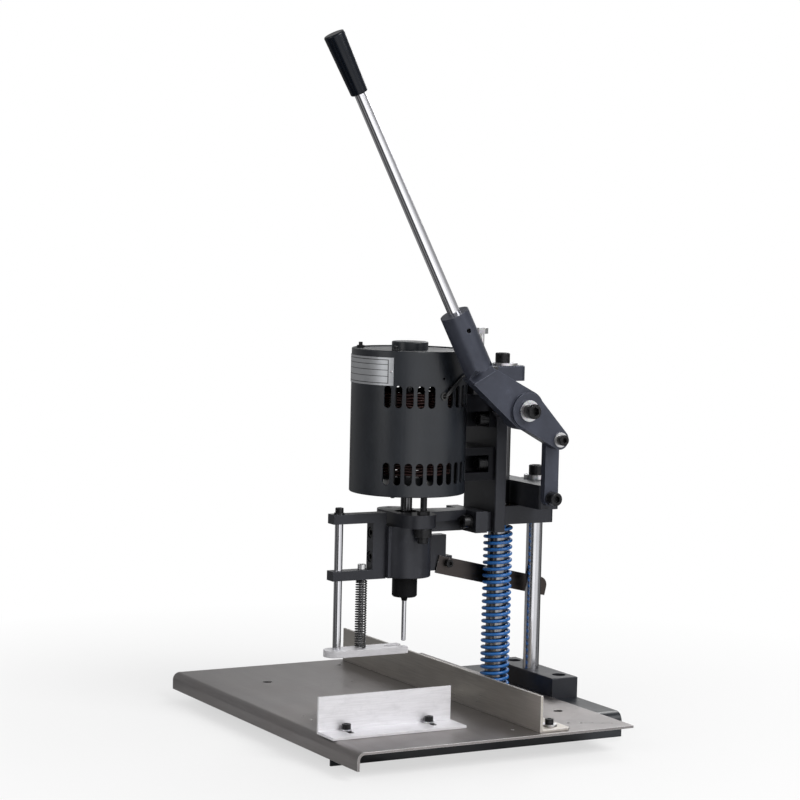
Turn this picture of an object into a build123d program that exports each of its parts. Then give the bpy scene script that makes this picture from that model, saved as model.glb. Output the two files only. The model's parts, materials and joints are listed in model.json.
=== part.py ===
from build123d import *
import math
import os

# Paper drill, in millimetres. X runs to the operator's right, Y to the back, Z up.
# The origin is on the floor, below the middle of the machine. X = 0 is the plane that
# holds the drill, both columns and the hold-down rod.

# ---------------------------------------------------------------- driving dimensions
# clearances
slide_gap = 0.05          # radial running clearance of a bush, bearing or guide
fit_gap = 0.5             # radial clearance of a screw in its hole
air_gap = 0.8             # least gap between pieces that don't touch
seat_gap = 0.3            # gap at a face that slides past another

# tray, table and base
tray_width = 337.0        # X
tray_depth = 392.0        # Y
tray_height = 29.4
tray_sheet = 3.0
tray_bend = 11.0          # outside radius of the folds along its two sides
tray_rim = 0.9            # from the column block's back to the tray's
tray_notch = 16.0         # length of the notch at the front end of the left side
plate_width = 496.0       # X
plate_depth = 363.0       # Y
plate_sheet = 3.0
plate_lip = 20.7          # height of the bent front lip, over all
plate_bend = 9.0          # outside radius of the bend
bar_t = 12.0              # bar under the tray
bar_edge = 14.0           # from the block's screws to the bar's ends
bar_reach = 20.0          # from a column's axis to the bar's front edge
bar_tongue = 18.0         # half width of the bar under the front column
pad_rim_t = 3.0           # thickness of the cutting pad's rim
pad_r = 15.0              # cutting pad
pad_flange = 4.0
# threaded holes left free in the table, for other places of the guide and the fence
spare_holes = (
    (-147.0, -120.0, 6.0), (144.0, 122.0, 6.0), (-144.0, 122.0, 6.0), (51.0, -170.0, 2.0),
    (75.0, -171.0, 2.0), (213.0, 16.0, 2.5), (-213.0, 16.0, 2.5), (206.0, 96.0, 2.0), (212.0, 110.0, 2.0),
)

# lines across the machine, in Y
drill_y = -10.3
front_column_y = 120.7
rear_column_y = 173.7
fence_face_y = 35.5
guide_rod_y = -101.5
spring_bolt_y = -69.7

# columns and the pieces fixed to them
front_column_r = 12.5
rear_column_r = 10.0
top_plate_z = 417.0       # underside of the top plate
top_plate_t = 18.5
top_plate_half = 20.0     # half width in X
top_plate_back = 24.0     # from the front column's axis to the plate's back
top_plate_corner = 9.0
top_plate_reach = 52.0    # from the front column's axis to the plate's front
block_half = 72.0         # column block, half width in X
block_depth = 36.5
block_column = 13.7       # from the block's front to the rear column's axis
block_height = 25.6
block_screw_edge = 20.0   # from the block's ends to its screws
block_screw_back = 0.6    # share of the block's depth in front of its screws
column_thread = 25.0
top_washer_r = 18.5       # washers on the front and the rear column
top_washer_t = 3.0
rear_washer_r = 15.0
rear_washer_t = 5.0
stop_from_plate = 2.0     # stop bolt, in front of the carriage plate's face
stop_rise = 38.7          # from the top plate's face to the bolt's head
stop_head_t = 7.0
stop_hex = 13.0
stop_shank = 3.0
crosshead_z = 264.0       # underside of the rear crosshead
crosshead_t = 29.5
crosshead_half = 72.0     # half width in X
crosshead_bar = 28.0      # depth of the cross bar in Y
crosshead_boss = 19.0     # radius round the rear column
crosshead_corner = 5.0
pin_thread = 24.0         # of the link's lower pin in the crosshead
front_gap = 1.5           # from the front column to the crosshead

# carriage
carriage_half = 38.0
carriage_t = 15.0
carriage_bottom = 234.0
carriage_top = 405.0
carriage_gap = 1.0        # from the carriage plate to the front column
arm_half = 20.0
arm_t = 22.7
arm_end = 15.5            # from the rear column's axis to the end of the arm
upper_arm_t = 39.0
carriage_thread = 11.0    # depth of the threaded holes in the carriage plate
bracket_screw_x = 22.0
bracket_screw_z = 247.0
saddle_screw_x = 24.0
# the motor's two saddles: underside, top, height of its screws
saddle_levels = ((298.0, 338.0, 318.0), (362.0, 403.0, 371.5))
saddle_half = 33.0
saddle_hug = 14.0         # how far the saddles reach round the shell
saddle_pocket = 10.5      # half height of the open pockets of the saddle screws
saddle_seat_depth = 8.0   # from the carriage plate to the saddle screws' seats
upper_arm_r = 19.0        # round the front column
bush_wall = 2.5
travel = 69.0             # full stroke of the head

# lever and link
pivot_z = 387.4
pivot_from_plate = 6.5    # from the carriage plate's front to the pivot's axis
pivot_r = 10.0
pivot_thread_r = 6.0
pivot_thread = 30.0
pivot_collar = 5.0        # the collar's step out from the shaft
hub_r = 24.0
hub_back = 72.0           # X of the hub's inner face
crank_boss = 21.5
crank_face = 98.0         # X of the crank's outer face
crank_t = 15.5
crank_pin_y = 45.7        # crank pin from the pivot, at rest
crank_pin_z = -35.9
crank_end_r = 12.0
arm_face = 94.0           # X of the lever arm's outer face
lever_arm_t = 16.0
link_length = 72.7
link_r = 9.6
link_t = 9.3
lever_lean = 27.8         # degrees from upright, towards the operator
socket_r = 17.5
socket_length = 85.0
socket_start_y = -64.2    # lower end of the socket's axis, from the pivot
socket_start_z = 40.6
rod_r_bottom = 7.5
rod_r_top = 6.6
rod_insert = 45.0
rod_visible = 282.0
grip_r_bottom = 10.2
grip_r_top = 12.6
grip_length = 74.0
grip_insert = 30.0
set_screw_run = 22.0      # from the socket's upper end
set_screw_sunk = 3.0      # the set screw's face below the socket's surface

# motor
motor_r = 70.0
motor_wall = 2.5
motor_z = 284.0
motor_length = 173.0
vent_width = 9.0
vent_step = 11.0          # degrees between vents
vent_first = -50.5        # degrees from +X of the first vent
vent_count = 10
vent_low_z = 311.5        # middle of the lower row
vent_high_z = 402.9       # middle of the upper row
vent_height = 26.5
gland_vent = 5            # vent of the upper row that gives way to the grommet
sight_hole = (6.8, 425.0, 1.6)   # small hole in the shell: angle, height, radius
cover_t = 8.0
stator_r = 67.3
stator_bore = 42.0
stator_half = 27.5
rotor_gap = 0.8
coil_height = 22.0
motor_shaft_r = 7.0
cap_r = 22.0
cap_height = 8.5
stud_spread = 42.0        # X of the bracket's two stud holes; the left one is free
stud_r = 4.0
stud_nut = (13.0, 5.0)    # across flats, height
stud_thread = 5.0         # of the screw in the stud's lower end
tie_ring = 62.0           # radius of the tie rods' circle
tie_angles = (-135.0, -45.0, 45.0, 135.0)
tie_r = 2.4
tie_rise = 5.5            # rods' ends above the shell's upper edge
tie_nut = (8.0, 3.2)      # across flats, height
tie_nut_seat = 1.5        # from the shell's upper edge down to the nuts
stud_boss = (10.5, 10.0)  # round spacers under the bracket: radius, height
plate_label_w = 110.5     # along the shell
plate_label_h = 33.0
plate_label_z = 432.5
plate_label_t = 0.6
gland_angle = 7.2         # degrees from +X towards +Y
gland_hole_r = 4.0
gland_rim_r = 5.0
gland_rise = 1.2          # the grommet's rim above the shell
gland_z = 404.0
lead_r = 1.6
# route of the lead: angle round the motor, distance out from the shell, height
lead_route = (
    (7.2, -8.0, 404.0), (7.2, -2.0, 404.0), (7.2, 1.6, 404.1), (9.4, 4.0, 406.8), (18.5, 2.8, 416.0),
    (30.0, 2.4, 424.0), (42.0, 2.4, 429.0), (54.0, 2.6, 431.0), (63.0, 3.5, 431.0), (67.5, 7.5, 430.0),
)
terminal_half = 8.0       # terminal block, half width
terminal_front = 3.5      # from the lead's end to the block's front
terminal_rise = 6.0       # from the lead's end to the block's top
terminal_mouth = 4.8      # radius of the hollow that the lead ends in

# spindle and drill
bracket_z = 244.0         # underside of the plate round the spindle
bracket_t = 16.0
bracket_end_r = 22.0
bracket_end_x = 28.0
flange_front = 77.0       # from the drill's axis to the flange's front face
flange_t = 16.0
flange_half = 36.0
flange_bottom = 234.0
flange_foot = 2.0         # the flange's back part stands this far above its underside
neck_front_half = 22.0
neck_back_half = 12.0
neck_drop = 4.0           # the neck's underside above the plate's
rib_half = 5.0
flange_screw_r = 9.2      # pockets beside the neck for the flange's screws
flange_screw_room = 14.0  # depth of those pockets
housing_r = 31.0
housing_bottom = 181.5
housing_flat = 14.0       # half width of the flat for the hold-down
lug_t = 13.0
lug_start = 10.0          # from the drill's axis to the lug's front
lug_end = 70.0            # to the upper lug's back
lug_low_end = 79.0        # to the lower lug's back
lug_low_top = 199.0
lug_top = 225.5
spindle_r = 8.5
bearing_r = 17.5
bearing_w = 10.0
spindle_bore = 2.0
spindle_bore_depth = 35.0
housing_collar = 16.0     # from the upper bearing to the housing's top
chuck_r = 15.3
chuck_height = 24.5
nose_r = 4.6
nose_height = 5.4
coupling_r = 12.0
coupling_drop = 8.0       # below the bracket's plate
coupling_height = 22.0
coupling_split = 12.0     # height of the spindle's end inside the coupling
drill_r = 2.75
drill_bore = 1.9
tip_gap = 0.6             # from the drill's tip to the table at full stroke

# hold-down
holder_half = 8.0         # half width of the C bracket in X
holder_arm_t = 11.5
holder_top = 260.0
holder_low = 180.5        # underside of the lower arm
holder_web = 18.0
holder_front = 11.0       # from the guide rod's axis to the arms' ends
holder_sink = 1.0         # the holder screws' heads below the web's face
holder_screw_z = (207.0, 236.0)
rod_rise = 0.4            # gap under the rod's washer, at rest
rod_washer_r = 6.4
guide_rod_r = 5.0
foot_t = 8.0
foot_z = 89.0             # underside of the foot
foot_half = 14.0
foot_round = 2.0          # from the guide rod's axis to the middle of the foot's round end
foot_slot = 10.0
foot_slot_back = 26.0     # from the drill's axis to the bottom of the slot
foot_end = -1.0           # prongs' ends, behind the drill's axis
foot_travel = 34.0

# springs
return_wire = 4.0
return_r = 16.2           # mean radius
return_turns = 25
foot_wire = 1.7
foot_spring_r = 6.3
foot_turns = 26
spring_seat = 0.4         # gap at a spring's end

# strip
strip_x = -19.8           # X of its near face
strip_t = 2.5
strip_width = 22.0
strip_length = 163.8
strip_slope = 13.0
strip_start_y = 57.0      # from the drill's axis
strip_start_z = 189.5
strip_screw = 14.0        # from its front end
strip_screw_up = 4.0      # above the strip's middle line

# fence and side guide
fence_inset = 7.0         # from the table's ends to the fence's
fence_height = 42.2
fence_leg = 41.0
fence_corner = 3.0        # bevel of the fence leg's back corners
angle_t = 3.0
fence_screw_end = 19.0    # from the fence's ends to its screws
fence_screw_y = 24.0      # from the fence's face
fence_slot = 12.0         # travel that the slots allow
guide_length = 172.0
guide_height = 42.2
guide_leg = 40.0
guide_inset = 103.0       # from the table's end to the upright leg's near face
guide_margin = 2.8        # from the table's front to the guide's
guide_screw_ends = 32.4   # from the guide's ends to its slots
guide_screw_gap = 2.0     # from the upright leg to the screws' heads
guide_slot = 12.0

# screws: diameter, head diameter, head height, width of the socket
M6 = (6.0, 10.0, 6.0, 5.0)
M8 = (8.0, 13.0, 8.0, 6.0)
M10 = (10.0, 16.0, 10.0, 8.0)
M12 = (12.0, 18.0, 12.0, 10.0)
washer_t = 2.5
thin_washer_t = 1.6

# ---------------------------------------------------------------- worked out from them
plate_top = tray_height + plate_sheet
block_front = rear_column_y - block_column
block_top = tray_height + block_height
plate_back = block_front - air_gap
plate_front = plate_back - plate_depth
tray_back = block_front + block_depth + tray_rim
tray_front = tray_back - tray_depth
fence_half = plate_width / 2 - fence_inset
fence_screw_x = fence_half - fence_screw_end
guide_x = plate_width / 2 - guide_inset
guide_front = plate_front + guide_margin
top_plate_top = top_plate_z + top_plate_t
stop_head_z = top_plate_top + stop_rise
crosshead_front = front_column_y + front_column_r + front_gap
crosshead_top = crosshead_z + crosshead_t
carriage_front = front_column_y - front_column_r - carriage_gap - carriage_t
arm_top = crosshead_z - air_gap
arm_z = arm_top - arm_t
pivot_y = carriage_front + pivot_from_plate
pin_y = pivot_y + crank_pin_y
pin_z = pivot_z + crank_pin_z
upper_arm_z = carriage_top - upper_arm_t
crank_back = crank_face - crank_t
link_face = crank_back - air_gap
link_back = link_face - link_t
low_pin_z = pin_z - link_length
motor_top = motor_z + motor_length
stator_z = (vent_low_z + vent_high_z) / 2
housing_top = bracket_z
spindle_bottom = housing_bottom - air_gap
chuck_z = spindle_bottom - chuck_height
drill_tip = plate_top + travel + tip_gap
flange_y = drill_y + flange_front
holder_back = drill_y - housing_r
holder_web_front = holder_back - holder_web
foot_top = foot_z + foot_t
guide_screw_x = guide_x + angle_t + M6[1] / 2 + guide_screw_gap
block_screw_x = block_half - block_screw_edge
block_screw_y = block_front + block_depth * block_screw_back
block_sink = M10[2] + 3.0
pad_t = plate_sheet + tray_sheet
stop_y = carriage_front - stop_from_plate
saddle_seat = carriage_front - saddle_seat_depth
coupling_z = bracket_z - coupling_drop
coupling_top = coupling_z + coupling_height


# ---------------------------------------------------------------- helpers


def block(x0, x1, y0, y1, z0, z1):
    return Pos((x0 + x1) / 2, (y0 + y1) / 2, (z0 + z1) / 2) * Box(x1 - x0, y1 - y0, z1 - z0)


def upright(r, x, y, z0, z1):
    return Pos(x, y, (z0 + z1) / 2) * Cylinder(r, z1 - z0)


def across(r, y, z, x0, x1):
    return Pos((x0 + x1) / 2, y, z) * Rot(0, 90, 0) * Cylinder(r, x1 - x0)


def along(r, x, z, y0, y1):
    return Pos(x, (y0 + y1) / 2, z) * Rot(90, 0, 0) * Cylinder(r, y1 - y0)


def tube(r_out, r_in, x, y, z0, z1):
    return upright(r_out, x, y, z0, z1) - upright(r_in, x, y, z0 - 1, z1 + 1)


def cap_screw(size, length):
    """Socket screw with its head's seat at the origin, head upwards."""
    d, head_d, head_h, socket = size
    body = upright(head_d / 2, 0, 0, 0, head_h) + upright(d / 2, 0, 0, -length, 0.1)
    body = chamfer(body.edges().filter_by(GeomType.CIRCLE).sort_by(Axis.Z)[-1], head_h * 0.08)
    key = extrude(Plane.XY.offset(head_h * 0.5) * RegularPolygon(socket / 2, 6, major_radius=False), head_h)
    return body - key


def washer(r_out, r_in, thickness=washer_t):
    return tube(r_out, r_in, 0, 0, 0, thickness)


def save(shape, name):
    export_step(shape, f"parts/{name}.step")


def group(shapes):
    return Compound(children=list(shapes))


def biarc(p0, t0, p1, t1):
    """Two arcs that leave p0 along t0 and reach p1 along t1, smooth where they meet."""
    v = p1 - p0
    t = t0 + t1
    k = 2 * (1 - t0.dot(t1))
    d = (-v.dot(t) + math.sqrt(v.dot(t) ** 2 + k * v.dot(v))) / k
    joint = (p0 + t0 * d + p1 - t1 * d) * 0.5
    arcs = []
    for a, ta, b in ((p0, t0, joint), (joint, None, p1)):
        if ta is None:
            ta = (joint - (p0 + t0 * d)).normalized()
        chord = b - a
        c = chord.normalized()
        side = (ta - c * ta.dot(c)).normalized()
        half = math.acos(max(-1.0, min(1.0, ta.dot(c))))
        middle = (a + b) * 0.5 + side * (chord.length / 2 * math.tan(half / 2))
        arcs.append(ThreePointArc(a, middle, b))
    return arcs


def coil(mean_r, wire, turns, x, y, z0, z1, start):
    """One unbroken helical spring, its wire swept along half-turn biarcs."""
    low = z0 + wire / 2
    rise = (z1 - z0 - wire) / turns
    slope = rise / (2 * math.pi)

    def point(angle):
        turn = angle + start
        return Vector(x + mean_r * math.cos(turn), y + mean_r * math.sin(turn), low + slope * angle)

    def direction(angle):
        turn = angle + start
        return Vector(-mean_r * math.sin(turn), mean_r * math.cos(turn), slope).normalized()

    arcs = []
    for half_turn in range(2 * turns):
        a = half_turn * math.pi
        b = a + math.pi
        arcs += biarc(point(a), direction(a), point(b), direction(b))
    path = Wire(arcs)
    section = Plane(origin=point(0), z_dir=direction(0)) * Circle(wire / 2)
    return sweep(section, path=path)


def coil_gap(mean_r, wire, turns, z0, z1):
    """Least distance between the wire's surface and itself, measured on points of its line."""
    rise = (z1 - z0 - wire) / turns
    steps = 72
    line = []
    for i in range(2 * steps + 1):
        angle = 2 * math.pi * i / steps
        line.append(Vector(mean_r * math.cos(angle), mean_r * math.sin(angle), rise * i / steps))
    least = min((b - line[0]).length for b in line[steps // 2:])
    return least - wire


# ---------------------------------------------------------------- base and table


def base_tray():
    """Sheet folded down along both sides, open at the front and the back, notched at the left front."""
    def rounded(half, top, r):
        bar = block(-half, half, tray_front, tray_back, 0, top)
        upper = [e for e in bar.edges().filter_by(Axis.Y) if e.center().Z > top - 1]
        return fillet(upper, r)

    inner = rounded(tray_width / 2 - tray_sheet, tray_height - tray_sheet, tray_bend - tray_sheet)
    tray = rounded(tray_width / 2, tray_height, tray_bend) - inner
    for y in (front_column_y, rear_column_y):
        tray -= upright(M12[0] / 2 + fit_gap, 0, y, 0, tray_height + 1)
    for x in (-block_screw_x, block_screw_x):
        tray -= upright(M10[0] / 2 + fit_gap, x, block_screw_y, 0, tray_height + 1)
    left = -tray_width / 2
    tray -= block(left - 1, left + tray_sheet + 1, tray_front - 1, tray_front + tray_notch,
                  -1, tray_height - tray_bend)
    return tray - upright(pad_r, 0, drill_y, 0, tray_height + 1)


def base_bar():
    """Bar under the tray that the columns and their block are screwed through."""
    half = block_screw_x + bar_edge
    bar_top = tray_height - tray_sheet
    bar = block(-half, half, rear_column_y - bar_reach, block_front + block_depth - 4, bar_top - bar_t, bar_top)
    bar += block(-bar_tongue, bar_tongue, front_column_y - bar_reach, rear_column_y, bar_top - bar_t, bar_top)
    for y in (front_column_y, rear_column_y):
        bar -= upright(M12[0] / 2 + fit_gap, 0, y, 0, tray_height)
    for x in (-block_screw_x, block_screw_x):
        bar -= upright(M10[0] / 2, x, block_screw_y, 0, tray_height)
    return bar


def table_plate():
    """Bare steel table, its front edge bent down into a lip with one rounded fold."""
    flat_from = plate_front + plate_bend
    sheet = block(-plate_width / 2, plate_width / 2, flat_from, plate_back, tray_height, plate_top)
    lip_low = plate_top - plate_lip
    lip = block(-plate_width / 2, plate_width / 2, plate_front, plate_front + plate_sheet,
                lip_low, plate_top - plate_bend)
    bend = across(plate_bend, flat_from, plate_top - plate_bend, -plate_width / 2, plate_width / 2)
    bend -= across(plate_bend - plate_sheet, flat_from, plate_top - plate_bend, -plate_width, plate_width)
    bend &= block(-plate_width, plate_width, plate_front, flat_from, plate_top - plate_bend, plate_top)
    plate = sheet + lip + bend
    plate -= upright(front_column_r + slide_gap, 0, front_column_y, tray_height - 1, plate_top + 1)
    plate -= upright(pad_r + slide_gap, 0, drill_y, tray_height - 1, plate_top + 1)
    for x, y in screw_places():
        plate -= upright(M6[0] / 2, x, y, tray_height - 1, plate_top + 1)
    for x, y, r in spare_holes:
        plate -= upright(r, x, y, tray_height - 1, plate_top + 1)
    return plate


def screw_places():
    """Middles of the four M6 screws in the table: two of the side guide, two of the fence."""
    guide = [(guide_screw_x, y) for y in (guide_front + guide_screw_ends,
                                          guide_front + guide_length - guide_screw_ends)]
    fence = [(x, fence_face_y + fence_screw_y) for x in (-fence_screw_x, fence_screw_x)]
    return guide + fence


def cutting_pad():
    pad = upright(pad_r, 0, drill_y, plate_top - pad_t, plate_top)
    return pad + upright(pad_r + pad_flange, 0, drill_y, plate_top - pad_t - pad_rim_t, plate_top - pad_t)


def column_block():
    bar = block(-block_half, block_half, block_front, block_front + block_depth, tray_height, block_top)
    bar = chamfer(bar.edges().group_by(Axis.Z)[-1], 0.8)
    bar -= upright(rear_column_r, 0, rear_column_y, tray_height - 1, block_top + 1)
    for x in (-block_screw_x, block_screw_x):
        bar -= upright(M10[0] / 2 + fit_gap, x, block_screw_y, tray_height - 1, block_top + 1)
        bar -= upright(M10[1] / 2 + fit_gap, x, block_screw_y, block_top - block_sink, block_top + 1)
    return bar


def base_screws():
    """Two screws down through the block and one up into each column."""
    shapes = []
    for x in (-block_screw_x, block_screw_x):
        seat = block_top - block_sink
        shapes.append(Pos(x, block_screw_y, seat) * cap_screw(M10, seat - (tray_height - tray_sheet - bar_t)))
    for y, top in ((front_column_y, tray_height), (rear_column_y, tray_height)):
        seat = tray_height - tray_sheet - bar_t
        shapes.append(Pos(0, y, seat) * Rot(180, 0, 0) * cap_screw(M12, top + column_thread - seat))
    return group(shapes)


def column(r, y, z0, z1):
    """Ground column, bevelled at its ends, with a blind threaded hole in each."""
    body = upright(r, 0, y, z0, z1)
    body = chamfer(body.edges().filter_by(GeomType.CIRCLE).sort_by(Axis.Z)[-1], 0.6)
    body -= upright(M12[0] / 2, 0, y, z0 - 1, z0 + column_thread)
    return body - upright(M12[0] / 2, 0, y, z1 - column_thread, z1 + 1)


def top_plate():
    y0 = front_column_y - top_plate_reach
    y1 = front_column_y + top_plate_back
    slab = block(-top_plate_half, top_plate_half, y0, y1, top_plate_z, top_plate_top)
    slab = fillet(slab.edges().filter_by(Axis.Z), top_plate_corner)
    slab = chamfer(slab.edges().group_by(Axis.Z)[-1], 1.0)
    slab -= upright(M12[0] / 2 + fit_gap, 0, front_column_y, top_plate_z - 1, top_plate_top + 1)
    return slab - upright(M8[0] / 2, 0, stop_y, top_plate_z - 1, top_plate_top + 1)


def stop_bolt():
    """Hexagon bolt through the top plate; its lower end sets the head's top position."""
    head = extrude(Plane.XY.offset(stop_head_z) * RegularPolygon(stop_hex / 2, 6, major_radius=False), stop_head_t)
    shank = upright(stop_shank, 0, 0, carriage_top + seat_gap, stop_head_z + 0.1)
    collar = upright(M8[0] / 2, 0, 0, top_plate_z, top_plate_top)
    return Pos(0, stop_y, 0) * (head + shank + collar)


def rear_crosshead():
    """Cross bar that carries the link, with a boss round the rear column."""
    y0 = crosshead_front
    bar = block(-crosshead_half, crosshead_half, y0, y0 + crosshead_bar, crosshead_z, crosshead_top)
    bar = fillet(bar.edges().filter_by(Axis.Z), crosshead_corner)
    bar += block(-crosshead_boss, crosshead_boss, y0 + 5, rear_column_y, crosshead_z, crosshead_top)
    bar += upright(crosshead_boss, 0, rear_column_y, crosshead_z, crosshead_top)
    bar -= upright(rear_column_r, 0, rear_column_y, crosshead_z - 1, crosshead_top + 1)
    hole_end = crosshead_half - pin_thread - fit_gap
    return bar - across(M10[0] / 2, pin_y, low_pin_z, hole_end, crosshead_half + 1)


def column_washers():
    top = Pos(0, front_column_y, top_plate_top) * washer(top_washer_r, M12[0] / 2 + fit_gap, top_washer_t)
    rear = Pos(0, rear_column_y, crosshead_top) * washer(rear_washer_r, M12[0] / 2 + fit_gap, rear_washer_t)
    return group([top, rear])


def column_cap_screws():
    top_reach = top_plate_t + top_washer_t + column_thread - 5.0
    top = Pos(0, front_column_y, top_plate_top + top_washer_t) * cap_screw(M12, top_reach)
    rear = Pos(0, rear_column_y, crosshead_top + rear_washer_t) * cap_screw(M12, column_thread)
    return group([top, rear])


def link_pin():
    """Lower pin of the link: shouldered screw in the crosshead, with its washer."""
    shoulder = M10[0] / 2 + 1.0
    outer = link_face + seat_gap
    pin = across(shoulder, pin_y, low_pin_z, crosshead_half, outer + washer_t)
    pin += across(M10[0] / 2, pin_y, low_pin_z, crosshead_half - pin_thread, crosshead_half)
    pin += across(shoulder + 2.5, pin_y, low_pin_z, outer, outer + washer_t)
    screw = Pos(outer + washer_t, pin_y, low_pin_z) * Rot(0, 90, 0) * cap_screw(M10, 1.0)
    return pin + screw


def table_washers():
    seats = screw_seats()
    radii = (6.4, 6.4, 9.0, 9.0)
    return group(Pos(x, y, z) * washer(r, M6[0] / 2, thin_washer_t) for r, (x, y, z) in zip(radii, seats))


def table_screws():
    seats = screw_seats()
    return group(Pos(x, y, z + thin_washer_t) * cap_screw(M6, z + thin_washer_t - tray_height - 0.1)
                 for x, y, z in seats)


def screw_seats():
    return [(x, y, plate_top + seat_gap + angle_t + seat_gap) for x, y in screw_places()]


# ---------------------------------------------------------------- fence and side guide


def fence():
    """Steel angle: an upright face and a leg behind it with a slot at each end."""
    z0 = plate_top + seat_gap
    y0 = fence_face_y
    face = block(-fence_half, fence_half, y0, y0 + angle_t, z0, z0 + fence_height)
    leg = block(-fence_half, fence_half, y0, y0 + fence_leg, z0, z0 + angle_t)
    corner = [e for e in leg.edges().filter_by(Axis.Z) if e.center().Y > y0 + angle_t]
    leg = chamfer(corner, fence_corner)
    shape = face + leg
    for x in (-fence_screw_x, fence_screw_x):
        slot = Pos(x, y0 + fence_screw_y, 0) * Rot(0, 0, 90) * SlotOverall(fence_slot + M6[0] + 1.6, M6[0] + 0.8)
        shape -= Pos(0, 0, z0 - 1) * extrude(slot, angle_t + 2)
    return shape


def side_guide():
    """Aluminium angle: an upright face and a leg towards the table's edge with two slots."""
    z0 = plate_top + seat_gap
    y0 = guide_front
    y1 = guide_front + guide_length
    face = block(guide_x, guide_x + angle_t, y0, y1, z0, z0 + guide_height)
    leg = block(guide_x, guide_x + guide_leg, y0, y1, z0, z0 + angle_t)
    shape = face + leg
    for y in (y0 + guide_screw_ends, y1 - guide_screw_ends):
        middle = guide_screw_x + guide_slot / 2
        slot = Pos(middle, y, 0) * SlotOverall(guide_slot + M6[0] + 1.6, M6[0] + 0.8)
        shape -= Pos(0, 0, z0 - 1) * extrude(slot, angle_t + 2)
    return shape


# ---------------------------------------------------------------- carriage


def carriage_plate():
    y0 = carriage_front
    y1 = carriage_front + carriage_t
    slab = block(-carriage_half, carriage_half, y0, y1, carriage_bottom, carriage_top)
    slab = chamfer(slab.edges().filter_by(Axis.Z), 1.0)
    bush_r = front_column_r + slide_gap + bush_wall
    slab -= upright(bush_r, 0, front_column_y, carriage_bottom - 1, carriage_top + 1)
    spring_r = return_r + return_wire / 2 + air_gap
    slab -= upright(spring_r, 0, front_column_y, carriage_bottom - 1, arm_z)
    slab -= across(pivot_thread_r, pivot_y, pivot_z, carriage_half - pivot_thread, carriage_half + 1)
    for x, z in carriage_screw_places():
        slab -= along(M10[0] / 2, x, z, y0 - 1, y0 + carriage_thread)
    return slab


def carriage_screw_places():
    places = [(x, bracket_screw_z) for x in (-bracket_screw_x, bracket_screw_x)]
    for _, _, z in saddle_levels:
        places += [(x, z) for x in (-saddle_screw_x, saddle_screw_x)]
    return places


def carriage_arm():
    """Lower arm behind the carriage plate, bored for the bushes of both columns."""
    y0 = carriage_front + carriage_t
    y1 = rear_column_y + arm_end
    bar = block(-arm_half, arm_half, y0, y1, arm_z, arm_top)
    rear = [e for e in bar.edges().filter_by(Axis.Z) if e.center().Y > y1 - 1]
    bar = fillet(rear, 5.0)
    bar -= upright(front_column_r + slide_gap + bush_wall, 0, front_column_y, arm_z - 1, arm_top + 1)
    return bar - upright(rear_column_r + slide_gap + bush_wall, 0, rear_column_y, arm_z - 1, arm_top + 1)


def upper_arm():
    """Upper block behind the carriage plate, bored for the front column's upper bush."""
    y0 = carriage_front + carriage_t
    z1 = upper_arm_z + upper_arm_t
    body = block(-upper_arm_r, upper_arm_r, y0, front_column_y, upper_arm_z, z1)
    body += upright(upper_arm_r, 0, front_column_y, upper_arm_z, z1)
    body -= block(-upper_arm_r, upper_arm_r, carriage_front, y0, upper_arm_z - 1, z1 + 1)
    return body - upright(front_column_r + slide_gap + bush_wall, 0, front_column_y, upper_arm_z - 1, z1 + 1)


def column_bushes():
    def bush(r, y, z0, z1):
        return tube(r + slide_gap + bush_wall, r + slide_gap, 0, y, z0, z1)

    return group([
        bush(front_column_r, front_column_y, arm_z, arm_top),
        bush(rear_column_r, rear_column_y, arm_z, arm_top),
        bush(front_column_r, front_column_y, upper_arm_z, upper_arm_z + upper_arm_t),
    ])


def pivot_shaft():
    """Lever's pivot, screwed into the side of the carriage plate, with a collar behind the hub."""
    end = crank_face + seat_gap
    shaft = across(pivot_r, pivot_y, pivot_z, carriage_half, end)
    shaft += across(pivot_thread_r, pivot_y, pivot_z, carriage_half - pivot_thread, carriage_half)
    shaft += across(pivot_r + pivot_collar, pivot_y, pivot_z, carriage_half, hub_back - seat_gap)
    return shaft - across(M12[0] / 2, pivot_y, pivot_z, end - 30, end + 1)


def pivot_washer():
    return Pos(crank_face + seat_gap, pivot_y, pivot_z) * Rot(0, 90, 0) * washer(12.8, M12[0] / 2 + fit_gap)


def pivot_screw():
    seat = crank_face + seat_gap + washer_t
    return Pos(seat, pivot_y, pivot_z) * Rot(0, 90, 0) * cap_screw(M12, 25.0)


def spindle_bracket():
    """Plate round the spindle, a neck that widens to the back, and a flange on the carriage."""
    span = 2 * (bracket_end_x + bracket_end_r)
    plate = Pos(0, drill_y, bracket_z) * extrude(SlotOverall(span, 2 * bracket_end_r), bracket_t)
    top = bracket_z + bracket_t
    y_back = flange_y
    outline = make_face(Polyline(
        (-neck_front_half, drill_y), (neck_front_half, drill_y), (neck_back_half, y_back + 1),
        (-neck_back_half, y_back + 1), close=True))
    neck = Pos(0, 0, bracket_z + neck_drop) * extrude(outline, bracket_t - neck_drop)
    rib = block(-rib_half, rib_half, drill_y + housing_r + 2, y_back + 1, flange_bottom, top - flange_foot)
    flange = block(-flange_half, flange_half, y_back, y_back + flange_t, flange_bottom, top)
    inner = carriage_half - 8
    flange += block(-inner, inner, y_back, carriage_front, flange_bottom + flange_foot, top - flange_foot)
    shape = plate + neck + rib + flange
    for x in (-bracket_screw_x, bracket_screw_x):
        shape -= along(M10[0] / 2 + fit_gap, x, bracket_screw_z, y_back - 1, carriage_front + 1)
        shape -= along(flange_screw_r, x, bracket_screw_z, y_back - flange_screw_room, y_back)
    shape -= upright(coupling_r + 2.0, 0, drill_y, flange_bottom - 1, top + 1)
    for x in (-stud_spread, stud_spread):
        shape -= upright(stud_r, x, drill_y, bracket_z - 1, top + 1)
    return shape


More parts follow.
